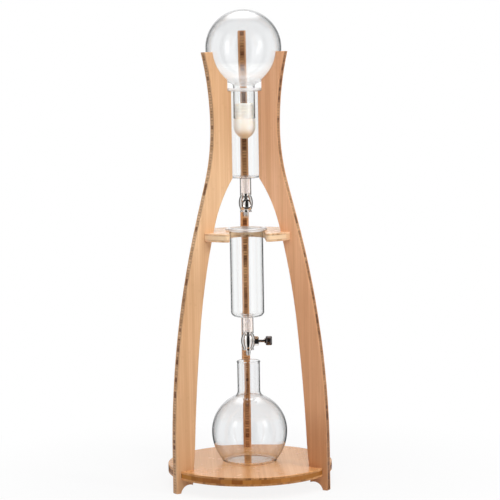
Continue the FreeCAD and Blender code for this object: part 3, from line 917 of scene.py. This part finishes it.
@dataclass
class BambooFrame:
    """Three legs, the base disc and the middle plate."""

    boards: tuple[Bamboo, ...] = (
        Bamboo("back_leg", Lay.UPRIGHT, 90.0, 3.0,
               light=srgb(240, 188, 142), mid=srgb(226, 168, 120), dark=srgb(206, 144, 96),
               end_light=srgb(226, 168, 114), end_mid=srgb(170, 115, 74),
               end_dark=srgb(126, 80, 48), seam_depth=0.8,
               # Painted light: the back leg is lightened round mid height, where it is seen through
               # the glass.
               painted_light=(1.18, 1.34, 1.46, 1.0), painted_light_height=0.57, painted_light_reach=0.26),
        Bamboo("left_leg", Lay.UPRIGHT, 210.0, 6.0,
               light=srgb(237, 195, 151), mid=srgb(225, 177, 132), dark=srgb(206, 154, 108),
               end_light=srgb(236, 190, 146), end_mid=srgb(206, 158, 116),
               end_dark=srgb(132, 88, 56)),
        Bamboo("right_leg", Lay.UPRIGHT, 330.0, 9.0,
               light=srgb(236, 184, 143), mid=srgb(222, 165, 122), dark=srgb(200, 140, 97),
               end_light=srgb(212, 160, 116), end_mid=srgb(172, 122, 82),
               # Painted light round this height, and painted shade towards the right leg's foot.
               end_dark=srgb(112, 72, 44), painted_light_height=0.68, foot=(0.76, 0.69, 0.60, 1.0)),
        Bamboo("base_disc", Lay.FLAT, 90.0, 21.0, **SHELF_MAKE,
               light=srgb(244, 190, 136), mid=srgb(232, 172, 114), dark=srgb(212, 148, 90),
               side_light=srgb(197, 133, 64), side_dark=srgb(140, 80, 30),
               end_light=srgb(216, 162, 108), end_mid=srgb(178, 124, 74)),
        Bamboo("middle_plate", Lay.FLAT, 90.0, 22.0, **SHELF_MAKE,
               light=srgb(250, 210, 172), mid=srgb(240, 194, 152), dark=srgb(224, 172, 128),
               side_light=srgb(246, 210, 170), side_dark=srgb(228, 184, 140),
               end_light=srgb(244, 204, 164), end_mid=srgb(222, 176, 132),
               end_dark=srgb(150, 104, 66)))

    def build(self) -> None:
        """Give each board its own bamboo."""
        for board in self.boards:
            dress_node(board.node, board.material())


@dataclass
class SubAssembly:
    """Part of the tower whose pieces wear the shared finishes."""

    finishes: Finishes


def set_glass(piece: Piece, node: str, body: str) -> None:
    """Let a glass piece stand for a node and let the light through."""
    piece.visible_shadow = False
    stand_for(piece, node, body)


@dataclass
class RoundVessel(SubAssembly):
    """Blown ball of even wall, with a neck that flares into it."""

    wall: float = 2.6 * MM
    neck: float = 27.0 * MM
    flare: float = 7.0 * MM

    def root(self, ball: float) -> float:
        """Distance in height between a ball's centre and the start of its neck."""
        return math.sqrt((ball + self.flare) ** 2 - (self.neck + self.flare) ** 2)

    def shoulder(self, ball: float, depth: float = 0.0) -> Pair:
        """Point at which the flare runs into the ball.

        Args:
            ball: Outer radius of the ball.
            depth: Depth of the wanted surface under the outside.

        Returns:
            The point's reach, and its distance in height from the ball's centre.
        """
        share = (ball - depth) / (ball + self.flare)
        return (self.neck + self.flare) * share, self.root(ball) * share


@dataclass
class WaterGlobe(RoundVessel):
    """Round globe, mouth down, with a fired mouth."""

    bead: float = 1.25 * MM
    haze_top: float = 56.0 * MM
    haze_step: float = 5.0 * MM
    haze_foot: float = 12.0 * MM

    def build(self) -> None:
        """Make the globe, with a faint haze above and below the root of its neck."""
        low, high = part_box("water_globe")
        ball = (high.x - low.x) / 2
        centre = high.z - ball
        outer_reach, outer_drop = self.shoulder(ball)
        inner_reach, inner_drop = self.shoulder(ball, self.wall)
        root = centre - self.root(ball)
        bore, lining = self.neck - self.wall, ball - self.wall
        mouth = low.z + self.bead
        glass = Profile([(0.0, high.z)])
        glass.bend(ball, centre, ball, 48)
        glass.bend(outer_reach, centre - outer_drop, ball, 44)
        glass.bend(self.neck, root, self.flare, 10, Turn.LEFT)
        glass.to(self.neck, mouth)
        glass.bend(bore, mouth, self.wall / 2, 12)
        glass.to(bore, root)
        glass.bend(inner_reach, centre - inner_drop, self.flare + self.wall, 10)
        glass.bend(lining, centre, lining, 44, Turn.LEFT)
        glass.bend(0.0, high.z - self.wall, lining, 48, Turn.LEFT)
        piece = turned("globe_glass", glass, 160, closed=False)
        wear(piece, self.finishes.round_glass)
        wear_where(piece, self.finishes.neck_glass, lambda spot: spot.z < root)
        for step, hazy in enumerate(self.finishes.hazy_glass):
            top = root + self.haze_top - step * self.haze_step
            wear_where(piece, hazy, lambda spot: root - self.haze_foot < spot.z < top)
        set_glass(piece, "water_globe", "globe")


@dataclass
class CoffeeFlask(RoundVessel):
    """Round flask with a flat foot, a straight neck and a fired lip."""

    neck: float = 28.5 * MM
    flare: float = 16.0 * MM
    belly: float = 78.0 * MM
    skirt: float = 115.0 * MM
    foot_rise: float = 7.0 * MM
    foot_inset: float = 9.0 * MM
    foot_pad: float = 5.0 * MM
    punt: float = 1.6 * MM
    punt_inset: float = 8.0 * MM
    punt_start: float = 0.3 * MM
    punt_radius: float = 1.0
    floor_radius: float = 1.4
    lip_height: float = 4.0 * MM
    lip_swell: float = 0.9 * MM
    lip_root: float = 2.4 * MM
    lip_widest: float = 0.6 * MM
    lip_hollow: float = 4.5 * MM
    lip_round: float = 2.4 * MM
    mouth_ease: float = 0.8 * MM
    mouth_depth: float = 1.0 * MM
    mouth_round: float = 3.0 * MM

    def build(self) -> None:
        """Make the flask, with a slight hollow under its foot."""
        low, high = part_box("coffee_flask")
        ball = (high.x - low.x) / 2
        centre = low.z + self.belly
        outer_reach, outer_rise = self.shoulder(ball)
        inner_reach, inner_rise = self.shoulder(ball, self.wall)
        root = centre + self.root(ball)
        bore, lining = self.neck - self.wall, ball - self.wall
        fall = self.belly - self.foot_rise
        heel = ball - self.skirt + math.sqrt(self.skirt ** 2 - fall ** 2)
        inner_skirt = self.skirt - self.wall
        inner_heel = ball - self.skirt + math.sqrt(inner_skirt ** 2 - fall ** 2)
        foot = heel - self.foot_inset
        foot_arc = (self.foot_inset ** 2 + self.foot_rise ** 2) / (2 * self.foot_rise)
        inset = inner_heel - foot + self.wall
        rise = self.foot_rise - self.wall
        inner_arc = (inset ** 2 + rise ** 2) / (2 * rise)
        lip = high.z - self.lip_height
        glass = Profile([(0.0, low.z + self.punt)])
        glass.bend(foot - self.punt_inset, low.z + self.punt_start, self.punt_radius, 10)
        glass.to(foot - self.foot_pad, low.z).to(foot, low.z)
        glass.bend(heel, low.z + self.foot_rise, foot_arc, 10, Turn.LEFT)
        glass.bend(ball, centre, self.skirt, 36, Turn.LEFT)
        glass.bend(outer_reach, centre + outer_rise, ball, 44, Turn.LEFT)
        glass.bend(self.neck, root, self.flare, 10)
        glass.to(self.neck, lip - self.lip_root)
        glass.bend(self.neck + self.lip_swell, lip + self.lip_widest, self.lip_hollow, 6)
        glass.bend(bore + self.mouth_ease, high.z, self.lip_round, 12, Turn.LEFT)
        glass.bend(bore, lip + self.mouth_depth, self.mouth_round, 6, Turn.LEFT)
        glass.to(bore, root)
        glass.bend(inner_reach, centre + inner_rise, self.flare + self.wall, 10, Turn.LEFT)
        glass.bend(lining, centre, lining, 44)
        glass.bend(inner_heel, low.z + self.foot_rise, inner_skirt, 36)
        glass.bend(foot - self.wall, low.z + self.wall, inner_arc, 10)
        glass.bend(0.0, low.z + self.wall + self.punt, self.floor_radius, 10, Turn.LEFT)
        piece = turned("flask_glass", glass, 160, closed=False)
        wear(piece, self.finishes.round_glass)
        set_glass(piece, "coffee_flask", "flask")


@dataclass
class GlassTube(SubAssembly):
    """Straight tube that hangs by a fired flange, with a stem below."""

    node: str
    body: str
    radius: float = 42.0 * MM
    wall: float = 3.0 * MM
    corner: float = 13.0 * MM
    length: float = 222.0 * MM
    flange: float = 7.0 * MM
    mouth_round: float = 1.6 * MM
    rim_round: float = 3.2 * MM
    rim_under: float = 3.8 * MM
    throat: float = 2.4 * MM
    stem: float = 14.2 * MM
    stem_wall: float = 2.2 * MM
    stem_round: float = 0.9 * MM
    stem_mouth: float = 0.6 * MM
    root: float = 3.0 * MM
    drain: float = 0.8 * MM
    frost_depth: float = 0.2 * MM

    def build(self) -> None:
        """Make the tube, with a frosted flange."""
        low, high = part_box(self.node)
        rim = (high.x - low.x) / 2
        bore = self.radius - self.wall
        floor = high.z - self.length
        inner_corner = self.corner - self.wall
        stem_bore = self.stem - self.stem_wall
        under = high.z - self.flange
        glass = Profile([(bore, floor + self.corner)])
        glass.corner(bore, high.z, self.mouth_round, 5)
        glass.corner(rim, high.z, self.rim_round, 8)
        glass.bend(rim - self.rim_round, under, self.rim_under, 8)
        glass.corner(self.radius, under, self.throat, 6, Turn.LEFT)
        glass.corner(self.radius, floor, self.corner, 14)
        glass.corner(self.stem, floor, self.root, 8, Turn.LEFT)
        glass.corner(self.stem, low.z, self.stem_round, 4)
        glass.corner(stem_bore, low.z, self.stem_mouth, 4)
        glass.corner(stem_bore, floor + self.wall, self.drain, 4)
        glass.corner(bore, floor + self.wall, inner_corner, 14, Turn.LEFT)
        glass.points.pop()
        piece = turned(f"{self.node}_glass", glass, 144)
        wear(piece, self.finishes.glass)
        frost_reach, frost_height = self.radius + self.frost_depth, high.z - self.frost_depth
        wear_where(piece, self.finishes.rim_glass,
                   lambda spot: spot.xy.length > frost_reach or spot.z > frost_height)
        set_glass(piece, self.node, self.body)


@dataclass
class Stopper(SubAssembly):
    """Hollow silicone stopper with a ribbed plug, a collar and a drip dome."""

    plug: float = 24.3 * MM
    plug_length: float = 38.0 * MM
    lead: float = 2.6 * MM
    lead_height: float = 2.0 * MM
    lead_round: float = 2.2 * MM
    groove: float = 0.9 * MM
    ribs: int = 4
    rib_start: float = 3.2 * MM
    rib_span: float = 30.0 * MM
    rib_height: float = 2.6 * MM
    rib_round: float = 2.3 * MM
    collar: float = 27.0 * MM
    collar_height: float = 18.5 * MM
    collar_round: float = 1.4 * MM
    seat_round: float = 0.6 * MM
    dome_tip: float = 6.0 * MM
    tip_inset: float = 1.0 * MM
    tip_rise: float = 0.3 * MM
    tip_round: float = 1.6 * MM
    cup: float = 17.0 * MM
    cup_depth: float = 46.0 * MM
    cup_round: float = 1.2 * MM
    hole: float = 3.0 * MM
    hole_round: float = 0.5 * MM

    def build(self) -> None:
        """Make the stopper."""
        low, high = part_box("globe_stopper")
        seat = high.z - self.plug_length
        ledge = seat - self.collar_height
        cup_floor = high.z - self.cup_depth
        run, dome = self.collar - self.dome_tip, ledge - low.z
        dome_arc = (run ** 2 + dome ** 2) / (2 * run)
        core = self.plug - self.groove
        shape = Profile([(self.cup, cup_floor)])
        shape.corner(self.cup, high.z, self.cup_round, 4)
        shape.to(self.plug - self.lead, high.z)
        shape.bend(core, high.z - self.lead_height, self.lead_round, 5)
        for rib in range(self.ribs):
            top = high.z - self.rib_start - rib * self.rib_span / self.ribs
            shape.to(core, top)
            shape.bend(core, top - self.rib_height, self.rib_round, 6)
        shape.corner(core, seat, self.seat_round, 3, Turn.LEFT)
        shape.corner(self.collar, seat, self.collar_round, 5)
        shape.to(self.collar, ledge)
        shape.bend(self.dome_tip + self.tip_inset, low.z + self.tip_rise, dome_arc, 28)
        shape.bend(self.dome_tip - self.hole_round, low.z, self.tip_round, 3)
        shape.corner(self.hole, low.z, self.hole_round, 3)
        shape.to(self.hole, cup_floor - self.cup)
        piece = turned("stopper_silicone", shape, 112)
        wear(piece, self.finishes.stopper)
        stand_for(piece, "globe_stopper", "stopper")


@dataclass
class NeedleTap(SubAssembly):
    """One chromed needle tap, measured from the crossing of its two bores."""

    which: str
    host: str
    port: Axis
    direction: Triple
    below: float = 22.0 * MM
    above: float = 24.0 * MM
    collar: float = 14.2 * MM
    collar_height: float = 4.0 * MM
    groove: float = 12.2 * MM
    groove_height: float = 1.6 * MM
    shoulder: float = 13.5 * MM
    belly: float = 17.7 * MM
    round_edge: float = 0.7 * MM
    spout: float = 6.0 * MM
    spout_tip: float = 4.6 * MM
    spout_bore: float = 2.6 * MM
    spout_length: float = 7.0 * MM
    spout_edge: float = 0.4 * MM
    ring_top: float = 2.4 * MM
    ring_foot: float = 0.6 * MM
    ring_depth: float = 0.5 * MM
    spout_lip: float = 0.6 * MM
    lip_chamfer: float = 0.3 * MM
    port_face: float = 15.0 * MM
    nut: float = 12.4 * MM
    nut_face: float = 10.2 * MM
    nut_length: float = 11.5 * MM
    nut_steps: int = 6
    face_groove: tuple[Pair, ...] = (
        (7.4 * MM, 0.0), (6.8 * MM, 0.7 * MM), (5.6 * MM, 0.7 * MM), (5.2 * MM, 0.0))
    spindle_hole: float = 4.1 * MM
    hole_chamfer: float = 0.4 * MM
    hole_depth: float = 8.0 * MM
    knob_start: float = 41.0 * MM
    knob_end: float = 59.5 * MM
    hub: float = 6.6 * MM
    hub_edge: float = 0.5 * MM
    hub_length: float = 3.0 * MM
    knob: float = 11.6 * MM
    chamfer: float = 1.6 * MM
    notch_place: float = 1.2 * MM
    notch_half: float = 0.5 * MM
    notch_depth: float = 0.4 * MM
    knurls: int = 40
    knurl_depth: float = 0.35 * MM
    dish: float = 18.0 * MM
    dish_inset: float = 0.8 * MM
    dish_skin: float = 0.1 * MM

    def centre(self) -> float:
        """Height of the crossing of the bores."""
        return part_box(f"{self.which}_tap_body")[0].z + self.below

    def on_port(self, piece: Piece) -> Piece:
        """Turn a piece that was made about Z until it lies on the port's axis.

        Args:
            piece: The piece.

        Returns:
            The same piece.
        """
        swing = Vector((0.0, 0.0, 1.0)).rotation_difference(Vector(self.direction))
        piece.data.transform(Matrix.Translation((0.0, 0.0, self.centre()))
                             @ swing.to_matrix().to_4x4())
        return piece

    def build_barrel(self) -> None:
        """Make the barrel, with a collar and a groove at each end."""
        top, bottom = self.above, -self.below
        ledge, step = top - self.collar_height, bottom + self.collar_height
        waist, hem = ledge - self.groove_height, step + self.groove_height
        half, rise = (waist - hem) / 2, self.belly - self.shoulder
        shape = Profile([(0.0, top)]).corner(self.collar, top, self.round_edge, 4)
        shape.corner(self.collar, ledge, self.round_edge, 4)
        shape.to(self.groove, ledge).to(self.groove, waist).to(self.shoulder, waist)
        shape.bend(self.shoulder, hem, (half ** 2 + rise ** 2) / (2 * rise), 40)
        shape.to(self.groove, hem).to(self.groove, step)
        shape.corner(self.collar, step, self.round_edge, 4)
        shape.corner(self.collar, bottom, self.round_edge, 4).to(0.0, bottom)
        piece = turned(f"{self.which}_tap_barrel", shape, 96, closed=False)
        piece.data.transform(Matrix.Translation((0.0, 0.0, self.centre())))
        wear(piece, self.finishes.chrome[Axis.Z])
        stand_for(piece, f"{self.which}_tap_body", self.host)

    def build_nozzle(self) -> None:
        """Make the tapered spout, with a groove above its cone and a rounded lip."""
        low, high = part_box(f"{self.which}_nozzle")
        start = self.centre() - self.below
        cone = start - self.spout_length
        ring_top, ring_foot, cut = cone + self.ring_top, cone + self.ring_foot, self.ring_depth
        neck = self.spout - self.spout_edge
        shape = Profile([(self.spout_bore, high.z), (neck, high.z), (neck, start)])
        shape.to(self.spout, start - self.spout_edge).to(self.spout, ring_top)
        shape.to(self.spout - cut, ring_top - cut).to(self.spout - cut, ring_foot + cut)
        shape.to(self.spout, ring_foot).to(self.spout, cone)
        shape.to(self.spout_tip, low.z + self.spout_lip)
        shape.bend(self.spout_tip - self.spout_lip, low.z, self.spout_lip, 4)
        shape.to(self.spout_bore + self.lip_chamfer, low.z)
        shape.to(self.spout_bore, low.z + self.lip_chamfer)
        piece = turned(f"{self.which}_spout", shape, 64)
        wear(piece, self.finishes.chrome[Axis.Z])
        stand_for(piece, f"{self.which}_nozzle", self.host)

    def build_nut(self) -> None:
        """Make the hexagonal gland nut, with its corners turned off at both ends."""
        def flat(reach: float, _height: float, angle: float) -> float:
            """Cut a round outline back to the hexagon's flats."""
            turn = angle % (math.pi / 3) - math.pi / 6
            return min(0.0, self.nut * math.cos(math.pi / 6) / math.cos(turn) - reach)

        start, end = self.port_face, self.port_face + self.nut_length
        width = self.nut - self.nut_face
        slope = width * math.tan(math.radians(30))
        shares = [step / self.nut_steps for step in range(self.nut_steps + 1)]
        shape = Profile([(self.spindle_hole, start), (self.nut_face, start)])
        for share in shares:
            shape.to(self.nut_face + width * share, start + slope * share)
        for share in reversed(shares):
            shape.to(self.nut_face + width * share, end - slope * share)
        for reach, depth in self.face_groove:
            shape.to(reach, end - depth)
        shape.to(self.spindle_hole + self.hole_chamfer, end)
        shape.to(self.spindle_hole, end - self.hole_chamfer)
        piece = self.on_port(turned(f"{self.which}_hex_nut", shape, 144, ripple=flat, sharp=20.0))
        wear(piece, self.finishes.chrome[self.port])
        stand_for(piece, f"{self.which}_gland_nut", self.host)

    def build_knob(self) -> None:
        """Make the knob, with a straight knurl round its grip and a turned face."""
        rim = self.knob - self.chamfer
        hub_end = self.knob_start + self.hub_length
        grip_start, grip_end = hub_end + self.chamfer, self.knob_end - self.chamfer
        lip = rim - self.dish_inset
        dish_edge = self.knob_end - self.dish + math.sqrt(self.dish ** 2 - lip ** 2)

        def knurl(reach: float, height: float, angle: float) -> float:
            """Cut the grip's teeth."""
            on_grip = reach >= self.knob - TINY and grip_start < height < grip_end
            return -self.knurl_depth * abs(angle * self.knurls / math.tau % 1.0 - 0.5) * 2 * on_grip

        shape = Profile([(self.spindle_hole, self.knob_start + self.hole_depth)])
        shape.to(self.spindle_hole, self.knob_start)
        shape.to(self.hub - self.hub_edge, self.knob_start)
        shape.to(self.hub, self.knob_start + self.hub_edge).to(self.hub, hub_end)
        shape.to(rim, hub_end).to(self.knob, grip_start)
        for middle in (grip_start + self.notch_place, grip_end - self.notch_place):
            shape.to(self.knob, middle - self.notch_half)
            shape.to(self.knob - self.notch_depth, middle)
            shape.to(self.knob, middle + self.notch_half)
        shape.to(self.knob, grip_end).to(rim, self.knob_end).to(lip, self.knob_end)
        shape.bend(0.0, dish_edge, self.dish, 20)
        piece = turned(f"{self.which}_knurled_knob", shape, 160, closed=False,
                       ripple=knurl, sharp=25.0)
        # The grip wears the darker chrome, a painted shade.
        wear(piece, self.finishes.grip[self.port])
        wear_where(piece, self.finishes.chrome[self.port], lambda spot: spot.xy.length < lip
                   and spot.z > dish_edge - self.dish_skin)
        stand_for(self.on_port(piece), f"{self.which}_knob", f"{self.which}_knob")

    def build(self) -> None:
        """Make the tap's visible pieces and dress the others."""
        self.build_barrel()
        self.build_nozzle()
        self.build_nut()
        self.build_knob()
        dress_node(f"{self.which}_spindle", self.finishes.steel[self.port])
        dress_node(f"{self.which}_inlet_tube", self.finishes.steel[Axis.Z])
        dress_node(f"{self.which}_stem_seal", self.finishes.seal)
        dress_node(f"{self.which}_packing_ring", self.finishes.seal)


# ---- Studio ----
class Role(Enum):
    """What a softbox is there for."""

    LIGHT = "lights matt surfaces"
    REFLECTION = "shows in bright surfaces"


@dataclass(frozen=True)
class Softbox:
    """Rectangular lamp that dims towards its edges."""

    name: str
    place: Triple
    power: float
    size: Pair = (1.0, 1.7)
    aim: Triple = (0.0, 0.0, 0.6)
    role: Role = Role.LIGHT
    dimming: float = 0.12

    def build(self) -> None:
        """Add the lamp, which acts only in its role."""
        data = bpy.data.lights.new(self.name, "AREA")
        data.shape = "RECTANGLE"
        data.size, data.size_y = self.size
        data.energy = self.power
        graph = Graph(data)
        across, along, _ = graph.split(graph.add("NewGeometry").outputs["Parametric"])
        shares = [graph.span(graph.off(part, 0.5), 0.5, self.dimming) for part in (across, along)]
        graph.close("OutputLight", graph.fill(graph.add("Emission"),
                                              Strength=graph.math("MULTIPLY", *shares)))
        lamp = bpy.data.objects.new(self.name, data)
        bpy.context.scene.collection.objects.link(lamp)
        lamp.visible_glossy = self.role is Role.REFLECTION
        lamp.visible_transmission = self.role is Role.REFLECTION
        lamp.visible_diffuse = self.role is Role.LIGHT
        lamp.location = self.place
        way = Vector(self.aim) - Vector(self.place)
        lamp.rotation_euler = way.to_track_quat("-Z", "Y").to_euler()


@dataclass
class Studio:
    """Camera, softboxes, a white floor and a room that bright surfaces mirror."""

    camera_place: Triple = (-0.157, -4.497, 0.986)
    camera_heading: float = -2.0
    camera_swing: float = 0.107
    camera_dip: float = 5.08
    camera_roll: float = 0.95
    lens: float = 130.9
    floor_radius: float = 9.0
    floor_shade: float = 0.86
    fade_start: float = 0.30
    fade_end: float = 0.95
    floor_share: float = 0.88
    upper_wall: float = 0.10
    upper_wall_start: Pair = (0.45, 0.7)
    panel: float = 3.4
    panel_way: Pair = (0.5, 0.866)
    panel_edge: Pair = (0.86, 1.0)
    room_light: Colour = (0.29, 0.29, 0.30, 1.0)
    mirrored: dict[float, float] = field(default_factory=lambda: {
        0.01: 1.0, 0.05: 0.06, 0.24: 0.08, 0.30: 0.75, 0.57: 0.75, 0.62: 0.16, 0.70: 0.16, 0.76: 1.0,
        0.945: 1.0, 0.965: 0.015})
    behind_glass: dict[float, float] = field(default_factory=lambda: {
        0.02: 1.0, 0.16: 0.80, 0.84: 0.80, 0.98: 1.0})
    lamps: tuple[Softbox, ...] = (
        Softbox("right_softbox", (2.3, -1.9, 1.95), 72.0, aim=(0.0, 0.0, 0.8)),
        Softbox("left_softbox", (-2.4, -1.7, 1.7), 7.0),
        Softbox("left_reflection", (-2.3, -1.9, 1.45), 12.0, role=Role.REFLECTION),
        Softbox("right_reflection", (2.3, -1.9, 1.45), 12.0, role=Role.REFLECTION),
        Softbox("top_softbox", (0.0, -0.2, 3.1), 70.0, (2.2, 2.2)),
        Softbox("front_softbox", (0.0, -2.0, 2.7), 74.0, (1.6, 1.0), (0.0, 0.0, 1.0)))

    def build_camera(self) -> None:
        """Set the camera up where the object is looked at from."""
        data = bpy.data.cameras.new("view")
        data.lens = self.lens
        camera = bpy.data.objects.new("view", data)
        bpy.context.scene.collection.objects.link(camera)
        heading, dip = math.radians(self.camera_heading), math.radians(self.camera_dip)
        swing, roll = math.radians(self.camera_swing), math.radians(self.camera_roll)
        ahead = Vector((-math.sin(heading) * math.cos(dip), math.cos(heading) * math.cos(dip),
                        -math.sin(dip)))
        right = Vector((math.cos(heading), math.sin(heading), 0.0))
        ahead, right = (ahead * math.cos(swing) + right * math.sin(swing),
                        right * math.cos(swing) - ahead * math.sin(swing))
        up = right.cross(ahead)
        right, up = (right * math.cos(roll) - up * math.sin(roll),
                     right * math.sin(roll) + up * math.cos(roll))
        turn = Matrix((right, up, -ahead)).transposed()
        camera.matrix_world = Matrix.Translation(self.camera_place) @ turn.to_4x4()
        bpy.context.scene.camera = camera

    def walls(self, graph: Graph, across: Socket, along: Socket,
              shades: dict[float, float]) -> Socket:
        """Shade of the walls round the tower, the same on its left and right.

        Args:
            graph: World or floor in the making.
            across: Place or direction to the right.
            along: Place or direction to the back.
            shades: Grey at each share of the way from straight behind to straight ahead.

        Returns:
            The shade's socket.
        """
        level = graph.math("MAXIMUM", graph.radius(across, along), 0.01)
        ahead = graph.math("DIVIDE", along, level)
        return graph.ramp(graph.math("MULTIPLY_ADD", ahead, -0.5, 0.5),
                          {part: grey(shade) for part, shade in shades.items()})

    def build_world(self) -> None:
        """Room that is white behind the tower, bright at its sides and dark at its front."""
        graph = Graph(bpy.data.worlds.new("room"))
        across, along, up = graph.split(graph.add("TexCoord").outputs["Generated"])
        mirrored = graph.mix(graph.span(up, *self.upper_wall_start),
                             self.walls(graph, across, along, self.mirrored),
                             grey(self.upper_wall))
        above = graph.weigh(*zip((along, up), self.panel_way))
        mirrored = graph.mix(graph.span(above, *self.panel_edge), mirrored, grey(self.panel))
        through = self.walls(graph, across, along, self.behind_glass)
        room = graph.mix(graph.reflected(), through, mirrored)
        room = graph.mix(graph.ray("Is Diffuse Ray"), room, self.room_light)
        room = graph.mix(graph.ray("Is Camera Ray"), room, WHITE)
        bpy.context.scene.world = graph.close(
            "OutputWorld", graph.fill(graph.add("Background"), Color=room))

    def build_floor(self) -> None:
        """White floor that keeps the shadow near the tower and fades to plain white."""
        mesh = bmesh.new()
        bmesh.ops.create_circle(mesh, cap_ends=True, segments=96, radius=self.floor_radius)
        floor = finished("floor", mesh, 40.0)
        graph = Graph.material("white_floor")
        across, along, _ = graph.split(graph.place())
        through = graph.ray("Is Transmission Ray")
        near = graph.fill(graph.add("BsdfDiffuse"), Color=grey(self.floor_shade))
        behind = self.walls(graph, across, along, self.behind_glass)
        far = graph.fill(graph.add("Emission"), Color=graph.mix(through, WHITE, behind))
        share = graph.span(graph.radius(across, along), self.fade_start, self.fade_end,
                           self.floor_share, 1.0)
        seen = graph.math("MAXIMUM", graph.ray("Is Camera Ray"), through)
        plain = graph.fill(graph.add("MixShader"), graph.math("MULTIPLY", seen, share), near, far)
        dim = graph.fill(graph.add("Emission"),
                         Color=self.walls(graph, across, along, self.mirrored))
        bright = graph.math("MULTIPLY", graph.reflected(),
                            graph.math("SUBTRACT", 1.0, graph.ray("Is Diffuse Ray")))
        shader = graph.fill(graph.add("MixShader"), bright, plain, dim)
        floor.data.materials.append(graph.close("OutputMaterial", shader))

    def build(self) -> None:
        """Make the whole studio."""
        self.build_camera()
        for lamp in self.lamps:
            lamp.build()
        self.build_world()
        self.build_floor()
        bpy.context.scene.view_settings.view_transform = "Standard"


def main() -> None:
    """Build the studio and the tower's sub-assemblies."""
    logging.basicConfig(level=logging.INFO, format="%(message)s")
    Studio().build()
    finishes = Finishes()
    for part in (
            BambooFrame(), WaterGlobe(finishes), Stopper(finishes),
            GlassTube(finishes, "reservoir_tube", "reservoir"),
            GlassTube(finishes, "chamber_tube", "chamber"), CoffeeFlask(finishes),
            NeedleTap(finishes, "upper", "reservoir", Axis.Y, (0.0, -1.0, 0.0)),
            NeedleTap(finishes, "lower", "chamber", Axis.X, (1.0, 0.0, 0.0))):
        LOG.info("building %s", type(part).__name__)
        part.build()


if __name__ == "__main__":
    main()
